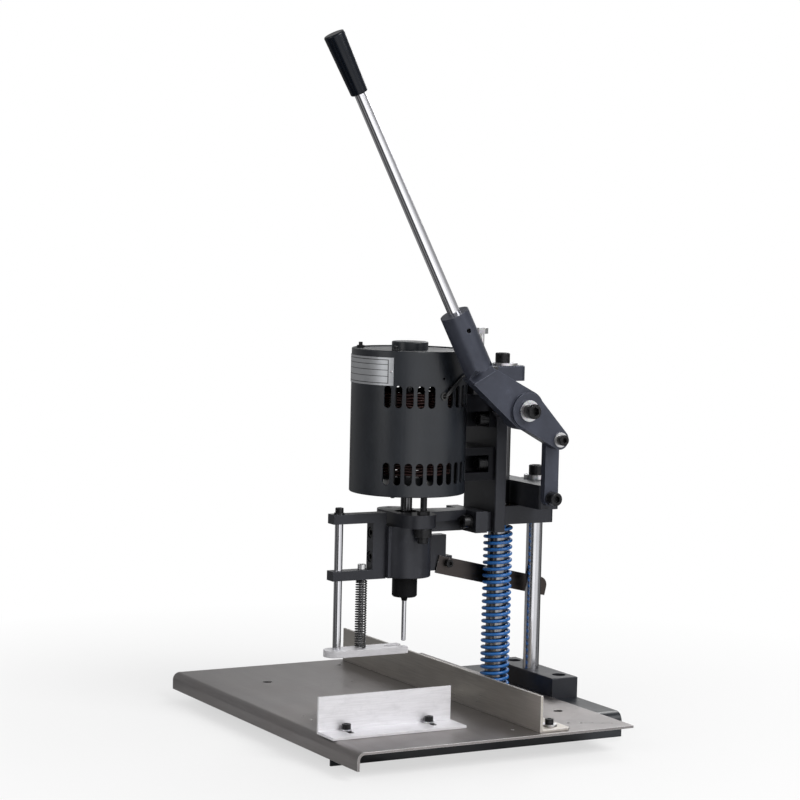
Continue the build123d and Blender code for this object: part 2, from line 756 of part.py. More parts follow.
def carriage_screws():
    """Socket screws with washers that hold the spindle bracket and the motor saddles."""
    shapes = []
    for x, z in carriage_screw_places():
        is_bracket = z == bracket_screw_z
        seat = flange_y if is_bracket else saddle_seat
        face = Rot(90, 0, 0)
        shapes.append(Pos(x, seat, z) * face * washer(8.6, M10[0] / 2 + 0.2, 2.0))
        shapes.append(Pos(x, seat - 2.0, z) * face * cap_screw(M10, carriage_front - seat + carriage_thread - 1))
    return group(shapes)


def motor_saddles():
    """Two blocks between the motor's shell and the carriage plate, with open screw pockets."""
    shapes = []
    for z0, z1, z in saddle_levels:
        body = block(-saddle_half, saddle_half, drill_y + motor_r - saddle_hug, carriage_front, z0, z1)
        body -= upright(motor_r, 0, drill_y, z0 - 1, z1 + 1)
        for side in (-1, 1):
            x = side * saddle_screw_x
            inner, outer = sorted((x - side * saddle_pocket, side * (saddle_half + 1)))
            body -= block(inner, outer, drill_y, saddle_seat, z - saddle_pocket, z + saddle_pocket)
            body -= along(M10[0] / 2 + fit_gap, x, z, drill_y, carriage_front + 1)
        shapes.append(body)
    return group(shapes)


# ---------------------------------------------------------------- motor


def polar(radius, degrees, z=0.0):
    a = math.radians(degrees)
    return Pos(radius * math.cos(a), drill_y + radius * math.sin(a), z)


def radial(radius, degrees, z):
    """Place on the motor whose own Z points out along the radius."""
    return polar(radius, degrees, z) * Rot(0, 0, degrees) * Rot(0, 90, 0)


def motor_shell():
    shell = tube(motor_r, motor_r - motor_wall, 0, drill_y, motor_z, motor_top)
    shell = fillet(shell.edges().filter_by(GeomType.CIRCLE).sort_by(SortBy.RADIUS)[-2:], 1.6)
    cutter = extrude(SlotOverall(vent_height, vent_width), 20.0)
    for z in (vent_low_z, vent_high_z):
        for i in range(vent_count):
            if z == vent_high_z and i == gland_vent:
                continue
            angle = vent_first + i * vent_step
            for side in (angle, 180.0 - angle):
                shell -= radial(motor_r - 10, side, z) * cutter
    shell -= radial(motor_r - 10, gland_angle, gland_z) * Cylinder(gland_hole_r, 40)
    angle, z, r = sight_hole
    return shell - radial(motor_r - 8, angle, z) * Cylinder(r, 30)


def motor_top_cover():
    inner = motor_r - motor_wall - 0.1
    cover = upright(inner, 0, drill_y, motor_top - cover_t, motor_top - 1.5)
    cover += upright(cap_r, 0, drill_y, motor_top - 2, motor_top + cap_height)
    cover = fillet(cover.edges().filter_by(GeomType.CIRCLE).sort_by(Axis.Z)[-1], 1.5)
    cover -= upright(motor_shaft_r + 4, 0, drill_y, motor_top - cover_t - 1, motor_top - 3)
    cover -= upright(bearing_r, 0, drill_y, motor_top - cover_t - 1, motor_top - cover_t + 5)
    for a in tie_angles:
        cover -= polar(tie_ring, a, motor_top) * Cylinder(tie_r + seat_gap, 30)
    return cover


def motor_bottom_cover():
    inner = motor_r - motor_wall - 0.1
    cover = upright(inner, 0, drill_y, motor_z + 1.5, motor_z + cover_t)
    cover += upright(bearing_r + 4, 0, drill_y, motor_z + cover_t - 1, motor_z + cover_t + bearing_w)
    cover -= upright(motor_shaft_r + 1, 0, drill_y, motor_z, motor_z + 40)
    cover -= upright(bearing_r, 0, drill_y, motor_z + cover_t, motor_z + 40)
    for a in tie_angles:
        cover -= polar(tie_ring, a, motor_z) * Cylinder(tie_r + seat_gap, 30)
    return cover - upright(stud_r, stud_spread, drill_y, motor_z, motor_z + 20)


def stator_core():
    core = tube(stator_r, stator_bore, 0, drill_y, stator_z - stator_half, stator_z + stator_half)
    for a in tie_angles:
        core -= polar(tie_ring, a, stator_z) * Cylinder(tie_r + seat_gap, 2 * stator_half + 2)
    return core


def stator_windings():
    """End turns of the windings above and below the core, as two bulged rings."""
    rings = []
    for z in (stator_z - stator_half - coil_height / 2, stator_z + stator_half + coil_height / 2):
        ring = tube(stator_r - 10.5, stator_bore + 3, 0, drill_y, z - coil_height / 2, z + coil_height / 2)
        ring = fillet(ring.edges().filter_by(GeomType.CIRCLE), 4.0)
        rings.append(ring)
    return group(rings)


def motor_rotor():
    r = stator_bore - rotor_gap
    return tube(r, motor_shaft_r, 0, drill_y, stator_z - stator_half, stator_z + stator_half)


def motor_shaft():
    return upright(motor_shaft_r, 0, drill_y, coupling_z + coupling_split, motor_top - 4.0)


def bearing(shaft_r, outer_r, x, y, z0, z1):
    """Ball bearing as its outer ring: the inner ring turns with the shaft."""
    return tube(outer_r, shaft_r + slide_gap, x, y, z0, z1)


def ball_bearings():
    top_z = motor_top - cover_t - bearing_w + 5
    low_z = motor_z + cover_t
    places = [
        (motor_shaft_r, top_z), (motor_shaft_r, low_z),
        (spindle_r, housing_bottom + 2.0), (spindle_r, housing_top - bearing_w - housing_collar),
    ]
    return group(bearing(r, bearing_r, 0, drill_y, z, z + bearing_w) for r, z in places)


def motor_studs():
    """Four tie rods through the motor with their nuts, and a stud down to the bracket's right hole."""
    shapes = []
    rod_length = motor_length + tie_rise + tie_nut_seat
    across_flats, nut_height = tie_nut
    for a in tie_angles:
        rod = polar(tie_ring, a, motor_top + tie_rise - rod_length / 2) * Cylinder(tie_r, rod_length)
        nut = extrude(RegularPolygon(across_flats / 2, 6, major_radius=False), nut_height)
        shapes.append(rod + polar(tie_ring, a, motor_top - tie_nut_seat) * nut)
    boss_r, boss_height = stud_boss
    boss_z = bracket_z - boss_height
    across_flats, nut_height = stud_nut
    nut = extrude(RegularPolygon(across_flats / 2, 6, major_radius=False), nut_height)
    stud = upright(stud_r, stud_spread, drill_y, boss_z, motor_z + cover_t)
    stud += Pos(stud_spread, drill_y, bracket_z + bracket_t) * nut
    stud += upright(boss_r, stud_spread, drill_y, boss_z, bracket_z)
    stud += Pos(stud_spread, drill_y, boss_z) * Rot(180, 0, 0) * cap_screw(M8, stud_thread)
    return group(shapes + [stud])


def name_plate():
    """Thin sheet label bent round the front of the motor's shell, left bare."""
    sweep_half = math.degrees(plate_label_w / 2 / motor_r)
    inner_r = motor_r + 0.05
    shell = tube(inner_r + plate_label_t, inner_r, 0, drill_y,
                 plate_label_z - plate_label_h / 2, plate_label_z + plate_label_h / 2)
    far = 2 * motor_r
    reach = math.radians(sweep_half)
    wedge = make_face(Polyline((0, 0), (-far * math.sin(reach), -far * math.cos(reach)),
                               (far * math.sin(reach), -far * math.cos(reach)), close=True))
    return shell & (Pos(0, drill_y, 0) * extrude(wedge, motor_top + 10))


def lead_gland():
    """Low rubber grommet where the leads leave the shell."""
    seat = radial(motor_r - motor_wall - 1, gland_angle, gland_z)
    face = motor_wall + 1
    collar = seat * upright(gland_hole_r - slide_gap, 0, 0, 0, face + 0.2)
    collar += seat * upright(gland_rim_r, 0, 0, face + 0.1, face + gland_rise)
    return collar - radial(motor_r - 6, gland_angle, gland_z) * Cylinder(lead_r + 1.3, 40)


def motor_leads():
    """Insulated lead from the grommet round the shell into the terminal block."""
    path = [polar(motor_r + out, a, z).position for a, out, z in lead_route]
    line = Spline(*path)
    section = Plane(origin=line @ 0, z_dir=line % 0) * Circle(lead_r)
    return sweep(section, path=line)


def terminal_block():
    """Small block on top of the upper saddle that takes the lead's far end."""
    angle, out, z = lead_route[-1]
    end = polar(motor_r + out, angle, z).position
    saddle_top = saddle_levels[-1][1]
    body = block(end.X - terminal_half, end.X + terminal_half, end.Y - terminal_front,
                 carriage_front - air_gap, saddle_top, z + terminal_rise)
    return body - (Pos(end) * Sphere(terminal_mouth))


# ---------------------------------------------------------------- spindle


def spindle_housing():
    """Round housing of the spindle with a flat for the hold-down and a lug for the strip."""
    body = upright(housing_r, 0, drill_y, housing_bottom, housing_top)
    body = fillet(body.edges().filter_by(GeomType.CIRCLE).sort_by(Axis.Z)[0], 1.2)
    body += block(-housing_flat, housing_flat, drill_y - housing_r, drill_y, housing_bottom, housing_top)
    lug_x = strip_x - strip_t
    body += block(lug_x - lug_t, lug_x, drill_y + lug_start, drill_y + lug_end, lug_low_top, lug_top)
    body += block(lug_x - lug_t, lug_x, drill_y + lug_start, drill_y + lug_low_end, housing_bottom, lug_low_top)
    body -= upright(spindle_r + 2, 0, drill_y, housing_bottom - 1, housing_top + 1)
    body -= upright(bearing_r, 0, drill_y, housing_bottom + 2, housing_bottom + 2 + bearing_w)
    body -= upright(bearing_r, 0, drill_y, housing_top - bearing_w - housing_collar, housing_top + 1)
    sy, sz = strip_point(strip_screw, strip_screw_up)
    body -= across(M6[0] / 2, sy, sz, lug_x - lug_t + 1, lug_x + 1)
    for z in holder_screw_z:
        body -= along(M8[0] / 2, 0, z, holder_back - 1, holder_back + 10.0)
    return body


def spindle():
    shaft = upright(spindle_r, 0, drill_y, spindle_bottom, coupling_z + coupling_split)
    return shaft - upright(spindle_bore, 0, drill_y, spindle_bottom - 1, spindle_bottom + spindle_bore_depth)


def shaft_coupling():
    ring = upright(coupling_r, 0, drill_y, coupling_z, coupling_top)
    ring -= upright(spindle_r, 0, drill_y, coupling_z - 1, coupling_z + coupling_split)
    ring -= upright(motor_shaft_r, 0, drill_y, coupling_z + coupling_split - 1, coupling_top + 1)
    return chamfer(ring.edges().filter_by(GeomType.CIRCLE).sort_by(SortBy.RADIUS)[-2:], 0.8)


def drill_chuck():
    body = upright(chuck_r, 0, drill_y, chuck_z, spindle_bottom)
    body = chamfer(body.edges().group_by(Axis.Z)[0], 1.6)
    nose = Pos(0, drill_y, chuck_z - nose_height / 2) * Rot(180, 0, 0) * Cone(nose_r, nose_r - 1.4, nose_height)
    return body + nose - upright(drill_r, 0, drill_y, chuck_z - nose_height - 1, spindle_bottom - 4)


def drill_bit():
    """Hollow paper drill, its lower end bevelled to a ring edge."""
    bit = tube(drill_r, drill_bore, 0, drill_y, drill_tip, spindle_bottom - 6)
    return chamfer(bit.edges().filter_by(GeomType.CIRCLE).group_by(Axis.Z)[0].sort_by(SortBy.RADIUS)[-1], 0.6)


def strip_point(run, up):
    """Point in Y and Z on the sloping strip: run along it from its front end, up across it."""
    a = math.radians(strip_slope)
    y = drill_y + strip_start_y + run * math.cos(a) + up * math.sin(a)
    return y, strip_start_z - run * math.sin(a) + up * math.cos(a)


def rear_strip():
    """Flat steel strip that slopes down to the back past both columns."""
    h = strip_width / 2
    bar = block(-strip_t, 0, 0, strip_length, -h, h)
    top_corner = [e for e in bar.edges().filter_by(Axis.X) if e.center().Y > 1 and e.center().Z > 0]
    bar = fillet(top_corner, h)
    bar -= across(M6[0] / 2 + fit_gap, strip_screw, strip_screw_up, -strip_t - 1, 1)
    return Pos(strip_x, drill_y + strip_start_y, strip_start_z) * Rot(-strip_slope, 0, 0) * bar


def housing_screws():
    """The strip's screw and the two screws of the hold-down bracket."""
    sy, sz = strip_point(strip_screw, strip_screw_up)
    shapes = [Pos(strip_x, sy, sz) * Rot(0, 90, 0) * cap_screw(M6, 12.0)]
    for z in holder_screw_z:
        seat = holder_web_front + M8[2] + holder_sink
        shapes.append(Pos(0, seat, z) * Rot(90, 0, 0) * cap_screw(M8, holder_back - seat + 10.0))
    return group(shapes)


# ---------------------------------------------------------------- hold-down


def hold_down_bracket():
    """C-shaped bracket: two arms that guide the rod, joined by a web on the housing."""
    y0 = guide_rod_y - holder_front
    x = holder_half
    web = block(-x, x, holder_web_front, holder_back, holder_low, holder_top)
    high = block(-x, x, y0, holder_back, holder_top - holder_arm_t, holder_top)
    low = block(-x, x, y0, holder_back, holder_low, holder_low + holder_arm_t)
    shape = web + high + low
    shape -= upright(guide_rod_r + slide_gap, 0, guide_rod_y, holder_low - 1, holder_top + 1)
    shape -= upright(M6[0] / 2 + slide_gap, 0, spring_bolt_y, holder_low - 1, holder_low + holder_arm_t + 1)
    for z in holder_screw_z:
        shape -= along(M8[0] / 2 + fit_gap, 0, z, holder_web_front - 1, holder_back + 1)
        shape -= along(M8[1] / 2 + 0.4, 0, z, holder_web_front - 1, holder_web_front + M8[2] + holder_sink)
    return shape


def pressure_foot():
    """Aluminium foot, round at the guide rod and forked round the drill."""
    y1 = drill_y + foot_end
    round_y = guide_rod_y - foot_round
    body = block(-foot_half, foot_half, round_y, y1, foot_z, foot_top)
    body += upright(foot_half, 0, round_y, foot_z, foot_top)
    slot_y = drill_y - foot_slot_back + foot_slot / 2
    body -= block(-foot_slot / 2, foot_slot / 2, slot_y, y1 + 1, foot_z - 1, foot_top + 1)
    body -= upright(foot_slot / 2, 0, slot_y, foot_z - 1, foot_top + 1)
    body -= upright(guide_rod_r, 0, guide_rod_y, foot_z + 2, foot_top + 1)
    return body - upright(M6[0] / 2, 0, spring_bolt_y, foot_z - 1, foot_top + 1)


def guide_rod():
    top = holder_top + rod_rise
    rod = upright(guide_rod_r, 0, guide_rod_y, foot_z + 2, top)
    return rod - upright(M6[0] / 2, 0, guide_rod_y, top - 15, top + 1)


def foot_screws():
    """Screw with washer on top of the guide rod, and the long screw through the foot's spring."""
    top = holder_top + rod_rise
    stop = Pos(0, guide_rod_y, top) * (upright(rod_washer_r, 0, 0, 0, 1.2) + Pos(0, 0, 1.2) * cap_screw(M6, 14.0))
    seat = holder_low + holder_arm_t + rod_rise
    return group([stop, Pos(0, spring_bolt_y, seat) * cap_screw(M6, seat - foot_z - 0.5)])


def foot_spring():
    z0 = foot_top + spring_seat
    z1 = holder_low - spring_seat
    return coil(foot_spring_r, foot_wire, foot_turns, 0, spring_bolt_y, z0, z1, 0.0)


def return_spring():
    return coil(return_r, return_wire, return_turns, 0, front_column_y, plate_top + spring_seat,
                arm_z - spring_seat, math.pi)


# ---------------------------------------------------------------- lever and link


def yz_face(points, x):
    """Face in the plane X = x, from points given as Y and Z."""
    return make_face(Polyline(*[(x, y, z) for y, z in points], close=True))


def lever_direction():
    a = math.radians(lever_lean)
    return -math.sin(a), math.cos(a)


def socket_end(distance, side=0.0):
    """Point on the socket's axis, a distance up from its lower end and a step to its back side."""
    dy, dz = lever_direction()
    y = pivot_y + socket_start_y + dy * distance + dz * side
    return y, pivot_z + socket_start_z + dz * distance - dy * side


def tangent_point(y, z, cy, cz, r, sign):
    """Point where the line from (y, z) touches the circle of radius r round (cy, cz)."""
    dist = math.hypot(cy - y, cz - z)
    base = math.atan2(z - cz, y - cy)
    turn = sign * math.acos(r / dist)
    return cy + r * math.cos(base + turn), cz + r * math.sin(base + turn)


def lever_arm():
    """Hub on the pivot, an arm forward to the socket and a crank back to the link."""
    hub = across(hub_r, pivot_y, pivot_z, hub_back, arm_face)
    front = socket_end(6.0, -socket_r + 1.0)
    back = socket_end(6.0, socket_r - 1.0)
    low = tangent_point(*front, pivot_y, pivot_z, hub_r, 1)
    high = tangent_point(*back, pivot_y, pivot_z, hub_r, -1)
    x0 = arm_face - lever_arm_t
    arm = extrude(yz_face([front, low, (pivot_y, pivot_z), high, back], x0), amount=lever_arm_t, dir=(1, 0, 0))
    boss = across(crank_boss, pivot_y, pivot_z, crank_back, crank_face)
    end = across(crank_end_r, pin_y, pin_z, crank_back, crank_face)
    # common tangents of the boss and the crank's round end
    span = math.hypot(crank_pin_y, crank_pin_z)
    heading = math.atan2(crank_pin_z, crank_pin_y)
    spread = math.acos((crank_boss - crank_end_r) / span)
    outline = []
    for sign, order in ((1, 0), (-1, 1)):
        a = heading + sign * spread
        pair = [(pivot_y + crank_boss * math.cos(a), pivot_z + crank_boss * math.sin(a)),
                (pin_y + crank_end_r * math.cos(a), pin_z + crank_end_r * math.sin(a))]
        outline += pair if order == 0 else pair[::-1]
    crank = extrude(yz_face(outline, crank_back), amount=crank_t, dir=(1, 0, 0))
    shape = hub + arm + boss + end + crank
    shape -= across(pivot_r + slide_gap, pivot_y, pivot_z, hub_back - 1, crank_face + 1)
    shape -= across(M8[0] / 2, pin_y, pin_z, crank_back - 1, crank_face + 1)
    return shape - socket_solid(socket_r)


def socket_solid(r, start=0.0, length=socket_length):
    """Cylinder on the socket's axis, in the lever's plane."""
    y, z = socket_end(start)
    return Pos(arm_face, y, z) * Rot(lever_lean, 0, 0) * upright(r, 0, 0, 0, length)


def lever_socket():
    """Tube on the arm, bored for the lever's rod, its outer lower edge sloped back."""
    body = socket_solid(socket_r) - socket_solid(rod_r_bottom, socket_length - rod_insert, rod_insert + 1)
    y, z = socket_end(0.0)
    slope = Pos(arm_face + socket_r, y, z) * Rot(lever_lean, 0, 0) * Rot(0, -40, 0) * Box(14, 60, 30)
    body -= slope
    sy, sz = socket_end(socket_length - set_screw_run)
    return body - across(M6[0] / 2, sy, sz, arm_face, arm_face + 30)


def lever_rod():
    """Chrome rod, slightly thinner towards its top."""
    start = socket_length - rod_insert
    y, z = socket_end(start)
    rod = upright(rod_r_bottom, 0, 0, 0, rod_insert + 0.1)
    taper = Pos(0, 0, rod_insert + rod_visible / 2) * Cone(rod_r_bottom, rod_r_top, rod_visible)
    tip = upright(rod_r_top, 0, 0, rod_insert + rod_visible - 0.1, rod_insert + rod_visible + grip_insert)
    return Pos(arm_face, y, z) * Rot(lever_lean, 0, 0) * (rod + taper + tip)


def lever_grip():
    """Tapered grip, wider at its top, with rounded ends."""
    y, z = socket_end(socket_length + rod_visible)
    body = Pos(0, 0, grip_length / 2) * Cone(grip_r_bottom, grip_r_top, grip_length)
    body = fillet(body.edges().filter_by(GeomType.CIRCLE), 2.0)
    body -= upright(rod_r_top, 0, 0, -1, grip_insert)
    return Pos(arm_face, y, z) * Rot(lever_lean, 0, 0) * body


def lever_screws():
    """The socket's set screw, and the crank's pin screw, level with the crank's inner face."""
    y, z = socket_end(socket_length - set_screw_run)
    outer = arm_face + socket_r - set_screw_sunk
    screw = across(M6[0] / 2, y, z, arm_face + rod_r_bottom, outer)
    key = extrude(RegularPolygon(1.5, 6, major_radius=False), 4.0)
    screw -= Pos(outer - 3.5, y, z) * Rot(0, 90, 0) * key
    pin = washer(9.0, M8[0] / 2 - 0.5, 2.0) + Pos(0, 0, 2.0) * cap_screw(M8, crank_t + 2.0)
    return group([screw, Pos(crank_face, pin_y, pin_z) * Rot(0, 90, 0) * pin])


def link_bar():
    """Flat link between the crosshead's pin and the crank, round at both ends."""
    bar = block(link_back, link_face, pin_y - link_r, pin_y + link_r, low_pin_z, pin_z)
    for z in (low_pin_z, pin_z):
        bar += across(link_r, pin_y, z, link_back, link_face)
    return bar - across(M10[0] / 2 + 1.0 + slide_gap, pin_y, low_pin_z, link_back - 1, link_face + 1)


# ---------------------------------------------------------------- every node
NODES = {
    "base_tray": base_tray,
    "base_bar": base_bar,
    "table_plate": table_plate,
    "cutting_pad": cutting_pad,
    "column_block": column_block,
    "base_screws": base_screws,
    "front_column": lambda: column(front_column_r, front_column_y, tray_height, top_plate_z),
    "rear_column": lambda: column(rear_column_r, rear_column_y, tray_height, crosshead_top),
    "top_plate": top_plate,
    "stop_bolt": stop_bolt,
    "rear_crosshead": rear_crosshead,
    "column_washers": column_washers,
    "column_cap_screws": column_cap_screws,
    "link_pin": link_pin,
    "table_washers": table_washers,
    "table_screws": table_screws,
    "return_spring": return_spring,
    "fence": fence,
    "side_guide": side_guide,
    "carriage_plate": carriage_plate,
    "carriage_arm": carriage_arm,
    "upper_arm": upper_arm,
    "column_bushes": column_bushes,
    "pivot_shaft": pivot_shaft,
    "pivot_washer": pivot_washer,
    "pivot_screw": pivot_screw,
    "spindle_bracket": spindle_bracket,
    "carriage_screws": carriage_screws,
    "motor_saddles": motor_saddles,
    "motor_shell": motor_shell,
    "motor_top_cover": motor_top_cover,
    "motor_bottom_cover": motor_bottom_cover,
    "stator_core": stator_core,
    "stator_windings": stator_windings,
    "ball_bearings": ball_bearings,
    "motor_studs": motor_studs,
    "name_plate": name_plate,
    "lead_gland": lead_gland,
    "motor_leads": motor_leads,
    "terminal_block": terminal_block,
    "spindle_housing": spindle_housing,
    "rear_strip": rear_strip,
    "housing_screws": housing_screws,
    "hold_down_bracket": hold_down_bracket,
    "motor_rotor": motor_rotor,
    "motor_shaft": motor_shaft,
    "shaft_coupling": shaft_coupling,
    "spindle": spindle,
    "drill_chuck": drill_chuck,
    "drill_bit": drill_bit,
    "lever_arm": lever_arm,
    "lever_socket": lever_socket,
    "lever_rod": lever_rod,
    "lever_grip": lever_grip,
    "lever_screws": lever_screws,
    "link_bar": link_bar,
    "pressure_foot": pressure_foot,
    "guide_rod": guide_rod,
    "foot_screws": foot_screws,
    "foot_spring": foot_spring,
}

os.makedirs("parts", exist_ok=True)
for name, make in NODES.items():
    save(make(), name)
gaps = {
    "return_spring": coil_gap(return_r, return_wire, return_turns, plate_top + spring_seat, arm_z - spring_seat),
    "foot_spring": coil_gap(foot_spring_r, foot_wire, foot_turns, foot_top + spring_seat, holder_low - spring_seat),
}
for name, gap in gaps.items():
    print(f"{name}: least gap between turns {gap:.2f} mm")
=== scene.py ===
import json
import math

import bpy
from mathutils import Matrix, Vector


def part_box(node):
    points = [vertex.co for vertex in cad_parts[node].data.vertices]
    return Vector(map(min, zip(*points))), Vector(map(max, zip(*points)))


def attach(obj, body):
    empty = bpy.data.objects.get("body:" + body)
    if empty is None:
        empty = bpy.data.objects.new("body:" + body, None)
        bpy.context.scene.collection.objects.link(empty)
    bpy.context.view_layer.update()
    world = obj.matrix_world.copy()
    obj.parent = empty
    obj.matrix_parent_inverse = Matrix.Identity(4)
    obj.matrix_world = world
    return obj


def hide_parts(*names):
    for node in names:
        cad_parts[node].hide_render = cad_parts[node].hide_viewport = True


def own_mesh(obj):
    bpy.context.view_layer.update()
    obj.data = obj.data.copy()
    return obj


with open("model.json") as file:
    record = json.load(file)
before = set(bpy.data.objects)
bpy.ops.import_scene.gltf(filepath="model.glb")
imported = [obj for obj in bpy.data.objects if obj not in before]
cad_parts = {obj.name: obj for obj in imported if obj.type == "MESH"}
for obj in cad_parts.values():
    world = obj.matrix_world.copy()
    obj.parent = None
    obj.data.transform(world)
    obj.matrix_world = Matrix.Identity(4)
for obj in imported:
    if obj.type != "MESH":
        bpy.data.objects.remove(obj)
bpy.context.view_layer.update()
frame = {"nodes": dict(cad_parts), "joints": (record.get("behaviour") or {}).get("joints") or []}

bl_info = {
    "name": "Paper drill dressing",
    "version": (1, 0, 0),
    "blender": (4, 5, 0),
    "location": "View3D > Sidebar > Paper Drill",
    "description": "Finishes, coil springs, windings, leads and stage for the paper drill",
    "category": "Object",
}

MM = 0.001
WHITE = (1.0, 1.0, 1.0)


def shade(colour, factor, plus=0.0):
    """Colour times a factor, plus the same amount in each channel."""
    return tuple(min(1.0, c * factor + plus) for c in colour)


# ---------------------------------------------------------------- shader building
class Term:
    """One output socket of a shader node; arithmetic on it adds Math nodes."""

    def __init__(self, graph, socket):
        self.graph = graph
        self.socket = socket

    def _math(self, operation, first, second):
        return self.graph.add("ShaderNodeMath", {"operation": operation}, {0: first, 1: second})

    def __add__(self, other):
        return self._math("ADD", self, other)

    __radd__ = __add__

    def __sub__(self, other):
        return self._math("SUBTRACT", self, other)

    def __rsub__(self, other):
        return self._math("SUBTRACT", other, self)

    def __mul__(self, other):
        return self._math("MULTIPLY", self, other)

    __rmul__ = __mul__

    def __truediv__(self, other):
        return self._math("DIVIDE", self, other)

    def __gt__(self, other):
        return self._math("GREATER_THAN", self, other)

    def __lt__(self, other):
        return self._math("LESS_THAN", self, other)


class Graph:
    """A node tree, emptied and built up again."""

    def __init__(self, owner):
        owner.use_nodes = True
        self.tree = owner.node_tree
        self.tree.nodes.clear()

    def feed(self, socket, value):
        """Gives a socket a number, a colour or a link."""
        if isinstance(value, Term):
            self.tree.links.new(value.socket, socket)
        elif socket.type == "RGBA" and len(value) == 3:
            socket.default_value = (*value, 1.0)
        else:
            socket.default_value = value

    def add(self, kind, settings=None, inputs=None, out=0):
        """Adds any node: its settings first, then its sockets' values or links."""
        node = self.tree.nodes.new(kind)
        for key, value in (settings or {}).items():
            setattr(node, key, value)
        for key, value in (inputs or {}).items():
            self.feed(node.inputs[key], value)
        return Term(self, node.outputs[out] if node.outputs else None)

    def between(self, value, low, high, to_low, to_high):
        """Number from to_low to to_high as value runs from low to high, held at both ends."""
        return self.add("ShaderNodeMapRange", {"clamp": True}, {
            "Value": value, "From Min": low, "From Max": high, "To Min": to_low, "To Max": to_high})

    def studio(self, way, panels):
        """Brightness of the studio's panels, for reflections only, by the turn of a way out of the middle.

        Each panel has its middle in degrees, the half widths where it is full and where it ends,
        and its brightness.
        """
        level = self.add("ShaderNodeVectorMath", {"operation": "MULTIPLY"}, {0: way, 1: (1.0, 1.0, 0.0)})
        level = self.add("ShaderNodeVectorMath", {"operation": "NORMALIZE"}, {0: level})
        total = None
        for middle, full, end, bright in panels:
            a = math.radians(middle)
            near = self.add("ShaderNodeVectorMath", {"operation": "DOT_PRODUCT"}, {
                0: level, 1: (math.cos(a), math.sin(a), 0.0)}, out="Value")
            panel = self.between(near, math.cos(math.radians(end)), math.cos(math.radians(full)), 0.0, bright)
            total = panel if total is None else total + panel
        return total


# The studio's panels as the floor and as the sky above it show them to mirroring metal: middle,
# full half width and outer half width in degrees, and brightness.
LOW_PANELS = (
    (-14.0, 13.0, 24.0, 1.35), (30.0, 14.0, 30.0, 0.95), (-150.0, 18.0, 34.0, 0.19), (76.0, 5.0, 14.0, 0.2),
    (-76.0, 3.0, 12.0, 0.2), (150.0, 10.0, 20.0, 0.8),
)
HIGH_PANELS = (
    (0.0, 30.0, 60.0, 0.8), (153.3, 1.1, 1.5, 0.34), (157.0, 2.0, 9.0, 0.1), (147.5, 1.5, 2.5, -0.12),
)


class Finish(Graph):
    """A node material with one Principled shader, built up by patterns."""

    def __init__(self, name, **constants):
        self.material = bpy.data.materials.new(name)
        super().__init__(self.material)
        self.output = self.tree.nodes.new("ShaderNodeOutputMaterial")
        self.shader = self.tree.nodes.new("ShaderNodeBsdfPrincipled")
        self.tree.links.new(self.shader.outputs[0], self.output.inputs["Surface"])
        for socket, value in constants.items():
            self.set(socket.replace("_", " "), value)

    def set(self, name, value):
        """Gives a Principled input a number, a colour or a link."""
        self.feed(self.shader.inputs[name], value)

    # patterns, all in the object's own coordinates, in metres
    def place(self, stretch=(1.0, 1.0, 1.0)):
        """Object coordinates, stretched per axis: a larger factor makes a pattern finer there."""
        where = self.add("ShaderNodeTexCoord", out="Object")
        return self.add("ShaderNodeVectorMath", {"operation": "MULTIPLY"}, {0: where, 1: stretch})

    def axis(self, letter, at=None):
        """One coordinate of the place, as a number."""
        at = at or self.add("ShaderNodeTexCoord", out="Object")
        return self.add("ShaderNodeSeparateXYZ", {}, {0: at}, out=letter)

    def noise(self, at, scale, detail=3.0, roughness=0.55):
        """Cloudy pattern; most of it lies from 0.3 to 0.7."""
        return self.add("ShaderNodeTexNoise", {}, {
            "Vector": at, "Scale": scale, "Detail": detail, "Roughness": roughness})

    def drift(self, pattern, to_low, to_high):
        """Number from to_low to_high over a noise pattern's usual range."""
        return self.between(pattern, 0.3, 0.7, to_low, to_high)

    def cells(self, at, scale, feature="F1", out="Distance"):
        """Pattern of grains that meet at straight edges."""
        return self.add("ShaderNodeTexVoronoi", {"feature": feature}, {"Vector": at, "Scale": scale}, out=out)

    def mix(self, share, first, second):
        """Colour mixed from first to second."""
        return self.add("ShaderNodeMix", {"data_type": "RGBA"}, {0: share, 6: first, 7: second}, out=2)

    def bump(self, height, depth, strength=1.0, under=None):
        """Normal bent by a height from 0 to 1, over a depth in metres."""
        inputs = {"Strength": strength, "Distance": depth, "Height": height}
        if under:
            inputs["Normal"] = under
        return self.add("ShaderNodeBump", {}, inputs)

    def soft_edges(self, radius):
        """Normal rounded over the solid's edges."""
        return self.add("ShaderNodeBevel", {"samples": 4}, {"Radius": radius})

    def edge_wear_and_highlight(self, soft):
        """1 along the edges that soft_edges rounds, 0 on the faces between: the mask for lighter edges,
        partly worn metal, partly painted highlight.
        """
        plain = self.add("ShaderNodeNewGeometry", out="Normal")
        same = self.add("ShaderNodeVectorMath", {"operation": "DOT_PRODUCT"}, {
            0: soft, 1: plain}, out="Value")
        return self.between(same, 0.90, 0.985, 1.0, 0.0)


